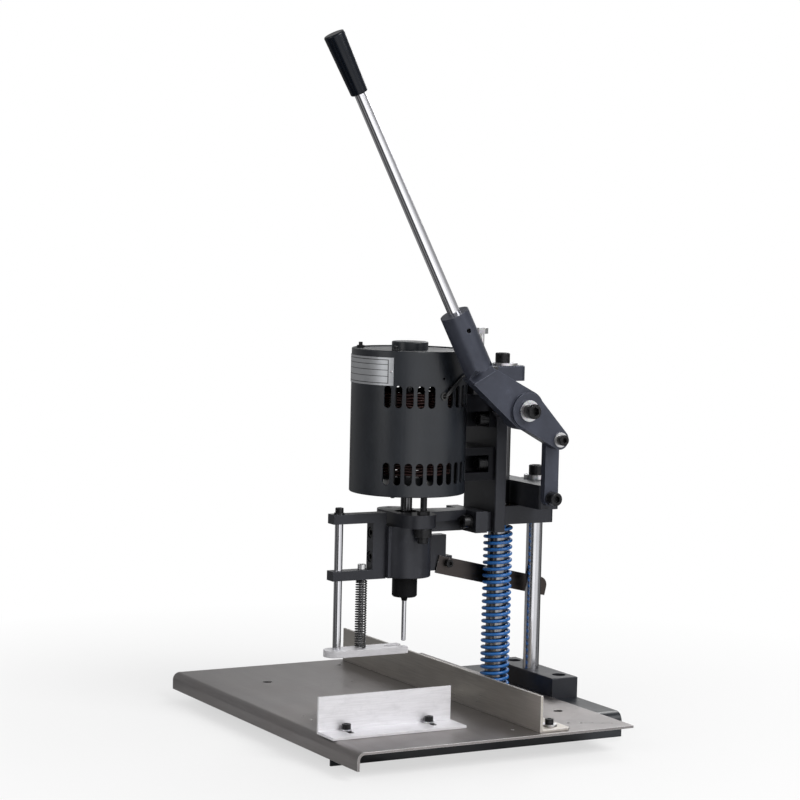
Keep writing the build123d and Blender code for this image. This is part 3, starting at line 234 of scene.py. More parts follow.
# ---------------------------------------------------------------- settings
class PaperDrillColours(bpy.types.PropertyGroup):
    """Colours of the machine's finishes."""

    paint: bpy.props.FloatVectorProperty(
        name="Motor paint", description="Dark grey enamel of the motor's shell and the tray",
        subtype="COLOR", size=3, min=0.0, max=1.0, default=(0.008, 0.010, 0.014))
    oxide: bpy.props.FloatVectorProperty(
        name="Black oxide", description="Blackened steel of the arms, blocks and lever",
        subtype="COLOR", size=3, min=0.0, max=1.0, default=(0.016, 0.017, 0.022))
    sheet: bpy.props.FloatVectorProperty(
        name="Table steel", description="Bare rolled steel of the table",
        subtype="COLOR", size=3, min=0.0, max=1.0, default=(0.305, 0.288, 0.288))
    fence: bpy.props.FloatVectorProperty(
        name="Fence steel", description="Bare steel of the fence",
        subtype="COLOR", size=3, min=0.0, max=1.0, default=(0.60, 0.57, 0.53))
    strip: bpy.props.FloatVectorProperty(
        name="Strip steel", description="Browned steel of the sloping strip",
        subtype="COLOR", size=3, min=0.0, max=1.0, default=(0.075, 0.066, 0.064))
    ground: bpy.props.FloatVectorProperty(
        name="Ground steel", description="Polished steel of the columns, rods and shafts",
        subtype="COLOR", size=3, min=0.0, max=1.0, default=(0.62, 0.62, 0.65))
    aluminium: bpy.props.FloatVectorProperty(
        name="Aluminium", description="Side guide and pressure foot",
        subtype="COLOR", size=3, min=0.0, max=1.0, default=(0.90, 0.89, 0.92))
    spring: bpy.props.FloatVectorProperty(
        name="Spring enamel", description="Blue enamel of the return spring",
        subtype="COLOR", size=3, min=0.0, max=1.0, default=(0.022, 0.145, 0.44))
    copper: bpy.props.FloatVectorProperty(
        name="Winding", description="Enamelled copper of the motor's windings",
        subtype="COLOR", size=3, min=0.0, max=1.0, default=(0.05, 0.012, 0.009))


class PaperDrillSprings(bpy.types.PropertyGroup):
    """Sizes of the two coil springs."""

    return_wire: bpy.props.FloatProperty(
        name="Return spring wire", description="Wire diameter of the blue return spring",
        subtype="DISTANCE", unit="LENGTH", min=0.002, max=0.005, default=0.004)
    return_turns: bpy.props.IntProperty(
        name="Return spring turns", description="Turns of the blue return spring, with its two closed ends",
        min=10, max=40, default=26)
    foot_wire: bpy.props.FloatProperty(
        name="Foot spring wire", description="Wire diameter of the foot's black spring",
        subtype="DISTANCE", unit="LENGTH", min=0.001, max=0.0025, default=0.0017)
    foot_turns: bpy.props.IntProperty(
        name="Foot spring turns", description="Turns of the foot's spring, with its two closed ends",
        min=10, max=40, default=28)


class PaperDrillStage(bpy.types.PropertyGroup):
    """Light and camera."""

    focal: bpy.props.FloatProperty(
        name="Focal length", description="Camera's focal length on a 36 mm sensor",
        min=50.0, max=200.0, default=108.35)
    key_power: bpy.props.FloatProperty(
        name="Key light", description="Power of the large light over the operator's right",
        min=0.0, max=400.0, default=66.0)
    fill_power: bpy.props.FloatProperty(
        name="Fill light", description="Power of the light on the front's side",
        min=0.0, max=400.0, default=17.0)
    rim_power: bpy.props.FloatProperty(
        name="Back light", description="Power of the light behind the machine",
        min=0.0, max=400.0, default=30.0)


# ---------------------------------------------------------------- finishes
def enamel(name, colour, grain=1.0):
    """Sprayed dark enamel: fine orange peel, faint mottle and dust."""
    f = Finish(name)
    mottle = f.noise(f.place(), 22.0, 4.0)
    dust = f.noise(f.place((1.0, 1.0, 0.35)), 160.0, 3.0)
    f.set("Base Color", f.mix(f.drift(mottle, 0.0, 0.35), colour, shade(colour, 1.9, 0.004)))
    f.set("Roughness", f.drift(mottle, 0.26, 0.36) + dust * 0.06)
    peel = f.noise(f.place(), 900.0 * grain, 2.0)
    f.set("Normal", f.bump(peel, 0.00005, 0.4, f.soft_edges(0.0006)))
    return f.material


def blackened(name, colour, along=(1.0, 1.0, 1.0), edge=0.0005, shine=0.5):
    """Machined steel, chemically blackened: cutter marks, cloudy sheen, greyer rubbed patches and lighter
    edges, partly rubbed wear and partly painted highlight.
    """
    f = Finish(name, Metallic=0.35, Specular_IOR_Level=shine)
    cloud = f.noise(f.place(), 35.0, 5.0)
    fine = f.noise(f.place(along), 420.0, 4.0)
    rub = f.noise(f.place((1.2, 1.0, 0.8)), 90.0, 5.0, 0.7)
    worn = f.between(rub, 0.56, 0.74, 0.0, 0.30)
    base = f.mix(f.drift(cloud, 0.0, 0.5), colour, shade(colour, 1.7))
    base = f.mix(worn, base, shade(colour, 2.6, 0.006))
    soft = f.soft_edges(edge)
    # edges lighter in patches: partly rubbed wear, partly painted highlight
    rim = f.edge_wear_and_highlight(soft) * f.between(rub, 0.35, 0.6, 0.1, 0.7)
    f.set("Base Color", f.mix(rim, base, shade(colour, 5.0, 0.03)))
    f.set("Roughness", f.drift(cloud, 0.28, 0.40) + fine * 0.08 - worn * 0.10)
    f.set("Normal", f.bump(fine, 0.00005, 0.35, soft))
    return f.material


def rolled_sheet(name, colour, along, rough=(0.28, 0.42), stain=0.25, edge=0.0004):
    """Bare sheet steel: rolling lines along one way, handling scratches, faint brown staining and paler
    edges, partly bare metal and partly painted highlight.
    """
    f = Finish(name)
    lines = f.noise(f.place(along), 30.0, 6.0, 0.65)
    broad = f.noise(f.place(tuple(0.12 * a for a in along)), 18.0, 3.0)
    cloud = f.noise(f.place(), 7.0, 4.0)
    scratch = f.cells(f.place((along[1] * 0.35, along[0] * 0.35, 1.0)), 9.0, "DISTANCE_TO_EDGE")
    mark = f.between(scratch, 0.0, 0.012, 0.5, 0.0)
    brown = (colour[0] * 0.80, colour[1] * 0.73, colour[2] * 0.66)
    base = f.mix(f.between(lines, 0.3, 0.72, 0.0, 0.75), shade(colour, 0.66), colour)
    base = f.mix(f.between(cloud, 0.42, 0.66, 0.0, stain), base, brown)
    base = f.mix(f.between(broad, 0.35, 0.65, 0.0, 0.25), base, shade(colour, 1.25))
    soft = f.soft_edges(edge)
    rim = f.edge_wear_and_highlight(soft)
    # edges paler and less metallic: partly bare cut metal, partly painted highlight
    f.set("Base Color", f.mix(rim * 0.85, base, (0.86, 0.86, 0.86)))
    f.set("Metallic", 1.0 - rim * 0.5)
    dull = f.between(cloud, 0.4, 0.7, 0.0, 0.10)
    f.set("Roughness", f.between(lines, 0.25, 0.75, *rough) + dull - mark * 0.1)
    f.set("Normal", f.bump(lines * 0.8 - mark, 0.00002, 0.35, soft))
    return f.material


def ground_steel(name, colour, upright=True):
    """Ground and polished round steel: very fine rings round it and slight dulling."""
    f = Finish(name, Metallic=1.0)
    fine = (1.0, 1.0, 60.0) if upright else (1.0, 30.0, 30.0)
    rings = f.noise(f.place(fine), 40.0, 3.0)
    cloud = f.noise(f.place(), 30.0, 4.0)
    f.set("Base Color", f.mix(f.between(cloud, 0.35, 0.7, 0.0, 0.4), colour, shade(colour, 0.8)))
    f.set("Roughness", f.drift(rings, 0.10, 0.18) + f.between(cloud, 0.4, 0.7, 0.0, 0.06))
    f.set("Normal", f.bump(rings, 0.000008, 0.4))
    return f.material


def plated(name, colour):
    """Zinc-plated hardware with faint crystals."""
    f = Finish(name, Metallic=1.0)
    grains = f.cells(f.place(), 900.0, out="Color")
    cloud = f.noise(f.place(), 120.0, 3.0)
    tone = f.mix(0.12, colour, grains)
    f.set("Base Color", f.mix(f.between(cloud, 0.4, 0.7, 0.0, 0.3), tone, shade(colour, 0.7)))
    f.set("Roughness", f.drift(cloud, 0.24, 0.4))
    f.set("Normal", f.bump(cloud, 0.00003, 0.3, f.soft_edges(0.0002)))
    return f.material


def extruded_aluminium(name, colour, along):
    """Mill-finish aluminium: straight drawing lines, small dents and dull spots."""
    f = Finish(name, Metallic=0.35)
    lines = f.noise(f.place(along), 60.0, 5.0, 0.6)
    spots = f.noise(f.place((1.0, 1.0, 1.4)), 55.0, 5.0, 0.7)
    nick = f.between(f.noise(f.place(), 240.0, 2.0), 0.66, 0.74, 0.0, 1.0)
    base = f.mix(f.drift(lines, 0.0, 0.6), shade(colour, 0.78), colour)
    f.set("Base Color", f.mix(f.between(spots, 0.5, 0.75, 0.0, 0.4), base, shade(colour, 0.6)))
    f.set("Roughness", f.drift(lines, 0.32, 0.46) + f.between(spots, 0.5, 0.75, 0.0, 0.12))
    f.set("Normal", f.bump(lines * 0.7 - nick * 0.6, 0.00003, 0.4, f.soft_edges(0.0004)))
    return f.material


def screw_black(name, bright=None):
    """Blackened socket screws, finely knurled; bright is the axis, start and end of a plated stretch."""
    f = Finish(name)
    cloud = f.noise(f.place(), 300.0, 3.0)
    knurl = f.cells(f.place(), 1500.0, "DISTANCE_TO_EDGE")
    soft = f.soft_edges(0.0003)
    black = f.mix(f.between(cloud, 0.4, 0.7, 0.0, 0.5), (0.008, 0.008, 0.009), (0.028, 0.028, 0.031))
    # edges lighter grey: painted highlight
    black = f.mix(f.edge_wear_and_highlight(soft) * 0.5, black, (0.12, 0.12, 0.13))
    plating = 0.0
    if bright:
        letter, low, high = bright
        at = f.axis(letter)
        plating = (at > low) * (at < high)
    f.set("Base Color", f.mix(plating, black, (0.62, 0.62, 0.63)))
    f.set("Metallic", plating * 0.45 + 0.55 if bright else 0.55)
    f.set("Roughness", f.drift(cloud, 0.26, 0.40))
    f.set("Normal", f.bump(knurl, 0.00006, 0.3, soft))
    return f.material


def moulded(name, colour, rough=0.36, texture=700.0, shine=0.5):
    """Moulded plastic or rubber: slight grain and flow marks."""
    f = Finish(name, Specular_IOR_Level=shine)
    grain = f.noise(f.place(), texture, 3.0)
    flow = f.noise(f.place((1.0, 0.6, 0.4)), 40.0, 3.0)
    f.set("Base Color", f.mix(f.drift(flow, 0.0, 0.5), colour, shade(colour, 1.5)))
    f.set("Roughness", f.drift(flow, rough - 0.05, rough + 0.08))
    f.set("Normal", f.bump(grain, 0.00004, 0.35))
    return f.material


def spring_enamel(name, colour, rough):
    """Dipped enamel on spring wire, thinner and darker in places."""
    f = Finish(name)
    runs = f.noise(f.place((1.0, 1.0, 0.5)), 180.0, 4.0)
    chip = f.between(f.noise(f.place(), 520.0, 3.0), 0.7, 0.75, 0.0, 0.6)
    base = f.mix(f.drift(runs, 0.0, 0.6), colour, shade(colour, 0.62))
    f.set("Base Color", f.mix(chip, base, (0.03, 0.03, 0.035)))
    f.set("Roughness", f.drift(runs, rough, rough + 0.12))
    f.set("Normal", f.bump(runs, 0.00006, 0.4))
    return f.material


def enamelled_copper(name, colour):
    """Varnished winding wire: many fine strands side by side."""
    f = Finish(name, Metallic=0.3)
    strand = f.noise(f.place((1.0, 1.0, 8.0)), 260.0, 3.0)
    varnish = f.noise(f.place(), 60.0, 3.0)
    base = f.mix(f.between(strand, 0.35, 0.7, 0.0, 0.8), shade(colour, 0.45), colour)
    f.set("Base Color", f.mix(f.between(varnish, 0.45, 0.7, 0.0, 0.35), base, (0.05, 0.045, 0.045)))
    f.set("Roughness", f.drift(varnish, 0.45, 0.65))
    f.set("Normal", f.bump(strand, 0.0003, 0.6))
    return f.material


def laminations(name):
    """Edge of the stator's stacked sheets: thin level lines with a trace of rust."""
    f = Finish(name, Metallic=0.8)
    sheets = f.noise(f.place((1.0, 1.0, 90.0)), 20.0, 2.0)
    rust = f.between(f.noise(f.place(), 50.0, 5.0), 0.55, 0.75, 0.0, 0.5)
    base = f.mix(f.between(sheets, 0.35, 0.65, 0.0, 1.0), (0.06, 0.06, 0.062), (0.17, 0.17, 0.175))
    f.set("Base Color", f.mix(rust, base, (0.10, 0.045, 0.025)))
    f.set("Roughness", f.drift(sheets, 0.4, 0.6))
    f.set("Normal", f.bump(sheets, 0.0001, 0.5))
    return f.material


def bronze(name):
    """Sintered bronze of the sliding bushes, pitted and oiled."""
    f = Finish(name, Metallic=1.0)
    pits = f.cells(f.place(), 1400.0)
    oil = f.noise(f.place(), 50.0, 3.0)
    f.set("Base Color", f.mix(f.drift(oil, 0.0, 0.5), (0.45, 0.29, 0.12), (0.26, 0.16, 0.07)))
    f.set("Roughness", f.drift(oil, 0.25, 0.45))
    f.set("Normal", f.bump(pits, 0.00003, 0.4))
    return f.material


def bare_label(name):
    """Thin satin label with a dark printed border and empty ruled rows."""
    f = Finish(name, Metallic=0.9)
    low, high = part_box("name_plate")
    where = f.add("ShaderNodeTexCoord", out="Object")
    x = f.axis("X", where)
    z = f.axis("Z", where)
    brush = f.noise(f.place((6.0, 6.0, 90.0)), 25.0, 3.0)
    up = (z - low.z) / (high.z - low.z)
    across = (x - low.x) / (high.x - low.x)
    lines = None
    for level in (0.33, 0.55, 0.75):
        away = f.add("ShaderNodeMath", {"operation": "ABSOLUTE"}, {0: up - level})
        row = f.between(away, 0.008, 0.016, 1.0, 0.0)
        lines = row if lines is None else lines + row
    inside = (up > 0.07) * (up < 0.93) * (across > 0.045) * (across < 0.955)
    core = (up > 0.10) * (up < 0.90) * (across > 0.055) * (across < 0.945)
    border = inside - core
    ink = f.between(lines * core + border, 0.0, 1.0, 0.0, 0.85)
    silver = f.mix(f.drift(brush, 0.0, 0.5), (0.46, 0.47, 0.49), (0.62, 0.63, 0.65))
    f.set("Base Color", f.mix(ink, silver, (0.02, 0.02, 0.02)))
    f.set("Roughness", f.drift(brush, 0.3, 0.45))
    f.set("Normal", f.bump(brush, 0.00002, 0.3))
    return f.material


# ---------------------------------------------------------------- mesh building
def make_object(name, verts, faces, material, body):
    """Smooth mesh object on a CAD body, its place in its vertices."""
    mesh = bpy.data.meshes.new(name)
    mesh.from_pydata([tuple(v) for v in verts], [], faces)
    mesh.update()
    for polygon in mesh.polygons:
        polygon.use_smooth = True
    obj = bpy.data.objects.new(name, mesh)
    bpy.context.scene.collection.objects.link(obj)
    obj.data.materials.append(material)
    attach(obj, body)
    return obj


def middle_of(low, high):
    """X and Y of the axis of an upright round box, and its radius."""
    return ((low.x + high.x) / 2, (low.y + high.y) / 2), (high.x - low.x) / 2


def polar(centre, radius, angle, z):
    """Point at an angle and a distance round an upright axis."""
    return Vector((centre[0] + radius * math.cos(angle), centre[1] + radius * math.sin(angle), z))


def tube_along(points, radius, sides):
    """Closed tube round a line of points: its vertices and faces."""
    verts, faces = [], []
    side = None
    for i, point in enumerate(points):
        ahead = points[min(i + 1, len(points) - 1)] - points[max(i - 1, 0)]
        ahead.normalize()
        if side is None:
            side = ahead.orthogonal().normalized()
        side = (side - ahead * side.dot(ahead)).normalized()
        other = ahead.cross(side)
        for k in range(sides):
            a = 2 * math.pi * k / sides
            verts.append(point + (side * math.cos(a) + other * math.sin(a)) * radius)
    for i in range(len(points) - 1):
        for k in range(sides):
            a, b = i * sides + k, i * sides + (k + 1) % sides
            faces.append((a, b, b + sides, a + sides))
    faces.append(tuple(reversed(range(sides))))
    last = (len(points) - 1) * sides
    faces.append(tuple(range(last, last + sides)))
    return verts, faces


class Tubes:
    """Closed tubes, gathered into one mesh's vertices and faces."""

    def __init__(self):
        self.verts, self.faces = [], []

    def add(self, points, radius, sides):
        """Adds one tube round a line of points."""
        start = len(self.verts)
        verts, faces = tube_along(points, radius, sides)
        self.verts.extend(verts)
        self.faces.extend(tuple(i + start for i in face) for face in faces)


def coil_points(centre, radius, wire, turns, low, high, steps):
    """Helix whose first and last turn lie close on their neighbours, as a pressed spring's do."""
    span = high - low - wire
    closed = wire * 1.06
    pitch = (span - 2 * closed) / (turns - 2)
    count = turns * steps
    points = []
    for i in range(count + 1):
        turn = turns * i / count
        if turn < 1:
            rise = turn * closed
        elif turn > turns - 1:
            rise = span - (turns - turn) * closed
        else:
            rise = closed + (turn - 1) * pitch
        points.append(polar(centre, radius, 2 * math.pi * turn, low + wire / 2 + rise))
    return points


def smooth_path(points, count):
    """Points along a Catmull curve through the given points."""
    out = []
    for i in range(len(points) - 1):
        p0 = points[max(i - 1, 0)]
        p1, p2 = points[i], points[i + 1]
        p3 = points[min(i + 2, len(points) - 1)]
        for k in range(count):
            t = k / count
            out.append(0.5 * ((2 * p1) + (p2 - p0) * t + (2 * p0 - 5 * p1 + 4 * p2 - p3) * t * t
                              + (3 * p1 - p0 - 3 * p2 + p3) * t ** 3))
    out.append(points[-1].copy())
    return out


def reach(joint):
    """Farther limit of a sliding joint, in metres."""
    found = next(j for j in frame["joints"] if j["name"] == joint)
    return max(abs(v) for v in found["range_m"])


# ---------------------------------------------------------------- operators
# CAD nodes that meshes of this script stand in for
REPLACED = {"return_spring", "foot_spring", "stator_windings", "motor_leads"}


class PDRILL_OT_finishes(bpy.types.Operator):
    """Give every CAD node its finish"""

    bl_idname = "pdrill.finishes"
    bl_label = "Finishes"

    def execute(self, context):
        c = context.scene.pdrill_colours
        lever_oxide = (c.oxide[0] * 2.1, c.oxide[1] * 2.2, c.oxide[2] * 2.4)
        washer_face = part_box("lever_arm")[1].x - 0.1 * MM
        washer_t = 2.2 * MM
        between_bolts = (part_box("guide_rod")[1].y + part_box("foot_spring")[0].y) / 2
        finishes = {
            enamel("motor_enamel", c.paint): ("motor_shell", "motor_top_cover", "motor_bottom_cover"),
            enamel("tray_enamel", shade(c.paint, 1.1), 0.8): ("base_tray",),
            rolled_sheet("table_sheet", c.sheet, (1.0, 14.0, 14.0), edge=0.0007): ("table_plate",),
            rolled_sheet("fence_steel", c.fence, (0.7, 16.0, 16.0), (0.26, 0.4), 0.3, 0.0012): ("fence",),
            rolled_sheet("strip_steel", c.strip, (14.0, 0.8, 6.0), (0.3, 0.46), 0.8): ("rear_strip",),
            rolled_sheet("bar_steel", c.fence, (1.0, 8.0, 8.0)): ("base_bar",),
            blackened("oxide_blocks", c.oxide): (
                "column_block", "rear_crosshead", "carriage_plate", "carriage_arm", "upper_arm",
                "spindle_bracket", "hold_down_bracket", "shaft_coupling"),
            # motor saddles: darker, duller copy of the oxide, painted shade where motor and lever shade them
            blackened("oxide_saddles", shade(c.oxide, 0.35), shine=0.15): ("motor_saddles",),
            blackened("oxide_lever", lever_oxide, (0.5, 1.5, 1.5), 0.0006): (
                "lever_arm", "lever_socket", "link_bar", "top_plate"),
            blackened("oxide_housing", shade(c.oxide, 1.15), (1.0, 1.0, 4.0)): ("spindle_housing",),
            ground_steel("column_steel", c.ground): ("rear_column", "guide_rod", "spindle", "drill_bit"),
            # front column: darker copy of the column steel, painted shade of the spring round it
            ground_steel("spring_column_steel", shade(c.ground, 0.4)): ("front_column",),
            # shaft and bearings: very dark copy of the column steel, painted shade inside the motor
            ground_steel("motor_steel", shade(c.ground, 0.15)): ("motor_shaft", "ball_bearings"),
            ground_steel("rod_steel", shade(c.ground, 1.35), False): ("lever_rod", "pivot_shaft"),
            plated("zinc_plate", (0.66, 0.66, 0.68)): (
                "column_washers", "stop_bolt", "table_washers", "pivot_washer"),
            screw_black("screw_black"): (
                "base_screws", "column_cap_screws", "link_pin", "table_screws", "pivot_screw",
                "carriage_screws", "housing_screws"),
            screw_black("crank_screw_black", ("X", washer_face, washer_face + washer_t)): ("lever_screws",),
            screw_black("stud_black"): ("motor_studs",),
            screw_black("bolt_black", ("Y", between_bolts, 1.0)): ("foot_screws",),
            extruded_aluminium("guide_aluminium", c.aluminium, (12.0, 0.6, 12.0)): ("side_guide",),
            extruded_aluminium("foot_aluminium", shade(c.aluminium, 0.92), (12.0, 0.8, 12.0)): (
                "pressure_foot",),
            laminations("core_laminations"): ("stator_core", "motor_rotor"),
            bronze("bush_bronze"): ("column_bushes",),
            bare_label("label_sheet"): ("name_plate",),
            moulded("chuck_black", (0.003, 0.003, 0.0035), 0.5, 1200.0, 0.12): ("drill_chuck",),
            moulded("grip_plastic", (0.002, 0.0035, 0.007), 0.22, 700.0, 0.25): ("lever_grip",),
            moulded("block_plastic", (0.015, 0.015, 0.016), 0.4): ("terminal_block",),
            moulded("pad_nylon", (0.66, 0.65, 0.60), 0.5, 300.0): ("cutting_pad",),
            moulded("gland_rubber", (0.02, 0.02, 0.02), 0.55): ("lead_gland",),
        }
        given = set()
        for material, nodes in finishes.items():
            for node in nodes:
                slots = frame["nodes"][node].data.materials
                for index in range(len(slots)):
                    slots[index] = material
                given.add(node)
        missed = set(frame["nodes"]) - given - REPLACED
        if missed:
            raise RuntimeError(f"no finish for {sorted(missed)}")
        return {"FINISHED"}


class PDRILL_OT_return_coil(bpy.types.Operator):
    """Build the blue return spring round the front column"""

    bl_idname = "pdrill.return_coil"
    bl_label = "Return spring"

    def execute(self, context):
        s = context.scene.pdrill_springs
        low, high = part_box("return_spring")
        centre, outer = middle_of(low, high)
        radius = outer - s.return_wire / 2
        points = coil_points(centre, radius, s.return_wire, s.return_turns, low.z, high.z, steps=40)
        verts, faces = tube_along(points, s.return_wire / 2, 14)
        blue = spring_enamel("return_enamel", tuple(context.scene.pdrill_colours.spring), 0.26)
        coil = make_object("return_coil", verts, faces, blue, "base")
        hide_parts("return_spring")
        length = high.z - low.z
        (length - reach("head_slide")) / length
        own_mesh(coil)
        return {"FINISHED"}


class PDRILL_OT_foot_coil(bpy.types.Operator):
    """Build the black spring on the pressure foot's screw"""

    bl_idname = "pdrill.foot_coil"
    bl_label = "Foot spring"

    def execute(self, context):
        s = context.scene.pdrill_springs
        low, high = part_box("foot_spring")
        centre, outer = middle_of(low, high)
        radius = outer - s.foot_wire / 2
        points = coil_points(centre, radius, s.foot_wire, s.foot_turns, low.z, high.z, steps=32)
        verts, faces = tube_along(points, s.foot_wire / 2, 10)
        black = spring_enamel("foot_enamel", (0.016, 0.016, 0.017), 0.32)
        coil = make_object("foot_coil", verts, faces, black, "carriage")
        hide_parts("foot_spring")
        length = high.z - low.z
        (length - reach("foot_slide")) / length
        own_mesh(coil)
        return {"FINISHED"}


class PDRILL_OT_windings(bpy.types.Operator):
    """Build the motor's end turns as bundles of wire with lacing"""

    bl_idname = "pdrill.windings"
    bl_label = "Motor windings"

    def execute(self, context):
        low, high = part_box("stator_windings")
        core_low, core_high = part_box("stator_core")
        centre, outer = middle_of(low, high)
        wires, laces = Tubes(), Tubes()
        for bottom, top in ((low.z, core_low.z), (core_high.z, high.z)):
            self.wind(wires, centre, outer, bottom, top)
            self.lace(laces, centre, outer, bottom, top)
        copper = enamelled_copper("winding_copper", tuple(context.scene.pdrill_colours.copper))
        bundle = make_object("winding_bundles", wires.verts, wires.faces, copper, "carriage")
        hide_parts("stator_windings")
        cotton = moulded("lacing_cotton", (0.06, 0.06, 0.06), 0.8, 900.0, 0.15)
        lacing = make_object("winding_lacing", laces.verts, laces.faces, cotton, "carriage")
        return {"FINISHED"}

    def wind(self, wires, centre, outer, bottom, top):
        """Rings of wire, packed side by side and above each other, each waving a little."""
        rings, levels, steps, waves = 5, 6, 72, 12
        wire_r, edge, apart = 1.25 * MM, 2.4 * MM, 2.2 * MM
        sway, heave, lift = 0.9 * MM, 0.6 * MM, 0.5 * MM
        for ring in range(rings):
            radius = outer - edge - apart * ring
            for level in range(levels):
                z = bottom + (top - bottom) * (level + 0.5) / levels + lift * math.sin(ring * 2.1 + level)
                points = []
                for i in range(steps + 1):
                    a = 2 * math.pi * i / steps
                    out = sway * math.sin(waves * a + ring + level * 1.7)
                    points.append(polar(centre, radius + out, a, z + heave * math.cos(waves * a + level)))
                wires.add(points, wire_r, 6)

    def lace(self, laces, centre, outer, bottom, top):
        """Loops of cord round the bundle, standing evenly round the axis."""
        loops, steps = 24, 16
        cord_r, edge, half_width, inset = 0.7 * MM, 6.8 * MM, 6.4 * MM, 0.8 * MM
        for k in range(loops):
            a = 2 * math.pi * (k + 0.5) / loops
            points = []
            for i in range(steps + 1):
                t = 2 * math.pi * i / steps
                z = (bottom + top) / 2 + ((top - bottom) / 2 - inset) * math.sin(t)
                points.append(polar(centre, outer - edge + half_width * math.cos(t), a, z))
            laces.add(points, cord_r, 6)


# angle round the motor in degrees, distance out from the shell and height in millimetres
LEAD_ROUTE = (
    (7.2, -8.0, 404.0), (7.2, -2.0, 404.0), (7.2, 1.6, 404.1), (9.4, 4.0, 406.8), (18.5, 2.8, 416.0),
    (30.0, 2.4, 424.0), (42.0, 2.4, 429.0), (54.0, 2.6, 431.0), (63.0, 3.5, 431.0), (67.5, 7.5, 430.0),
)


class PDRILL_OT_leads(bpy.types.Operator):
    """Build the two motor leads from the grommet to the terminal block"""

    bl_idname = "pdrill.leads"
    bl_label = "Motor leads"

    def execute(self, context):
        centre, shell = middle_of(*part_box("motor_shell"))
        lead_r, upright_from = 1.2 * MM, 405.0
        black = moulded("lead_rubber", (0.011, 0.011, 0.012), 0.42, 600.0)
        for k, shift in enumerate((-1.0, 1.0)):
            route = []
            for angle, out, z in LEAD_ROUTE:
                a = math.radians(angle)
                apart = Vector((0, 0, 1.3 * MM))
                if z <= upright_from:
                    apart = Vector((-math.sin(a), math.cos(a), 0)) * 1.2 * MM
                route.append(polar(centre, shell + out * MM, a, z * MM) + apart * shift)
            verts, faces = tube_along(smooth_path(route, 10), lead_r, 12)
            lead = make_object(f"motor_lead_{k + 1}", verts, faces, black, "carriage")
        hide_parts("motor_leads")
        return {"FINISHED"}


class PDRILL_OT_label_rivets(bpy.types.Operator):
    """Fix the bare label with a small rivet at each end"""

    bl_idname = "pdrill.label_rivets"
    bl_label = "Label rivets"

    def execute(self, context):
        low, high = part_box("name_plate")
        centre, shell = middle_of(*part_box("motor_shell"))
        proud, seat, from_end = 0.6 * MM, 0.5 * MM, math.radians(2.2)
        half = math.asin(min(1.0, high.x / (shell + proud))) - from_end
        metal = plated("rivet_metal", (0.6, 0.6, 0.61))
        rings = ((1.5, 0.0), (1.5, 0.25), (1.2, 0.6), (0.6, 0.8))   # radius and height of the dome
        sides = 16
        verts, faces = [], []
        for side in (-1, 1):
            a = -math.pi / 2 + side * half
            out = Vector((math.cos(a), math.sin(a), 0))
            flat = Vector((-math.sin(a), math.cos(a), 0))
            up = Vector((0, 0, 1))
            base = polar(centre, shell + seat, a, (low.z + high.z) / 2)
            start = len(verts)
            for radius, rise in rings:
                for k in range(sides):
                    t = 2 * math.pi * k / sides
                    round_it = flat * math.cos(t) + up * math.sin(t)
                    verts.append(base + out * (rise * MM) + round_it * radius * MM)
            for j in range(len(rings) - 1):
                for k in range(sides):
                    p, q = start + j * sides + k, start + j * sides + (k + 1) % sides
                    faces.append((p, q, q + sides, p + sides))
            top = start + (len(rings) - 1) * sides
            faces.append(tuple(top + k for k in range(sides)))
            faces.append(tuple(start + k for k in reversed(range(sides))))
        rivets = make_object("label_rivets", verts, faces, metal, "carriage")
        return {"FINISHED"}


CAMERA_PLACE = (2.5165, -1.4312, 0.6187)
CAMERA_TURNS = (60.76, 4.44, 1.32)      # degrees: turn about Z, height above level, roll
LAMP_AIM = Vector((0.0, 0.0, 0.35))
# name, the setting that holds its power, place, width and height
LAMPS = (
    ("key_light", "key_power", (2.1, 0.9, 2.0), (1.5, 1.5)),
    ("fill_light", "fill_power", (0.5, -2.6, 1.2), (1.2, 1.8)),
    ("back_light", "rim_power", (-1.6, 1.8, 1.9), (1.6, 1.6)),
)


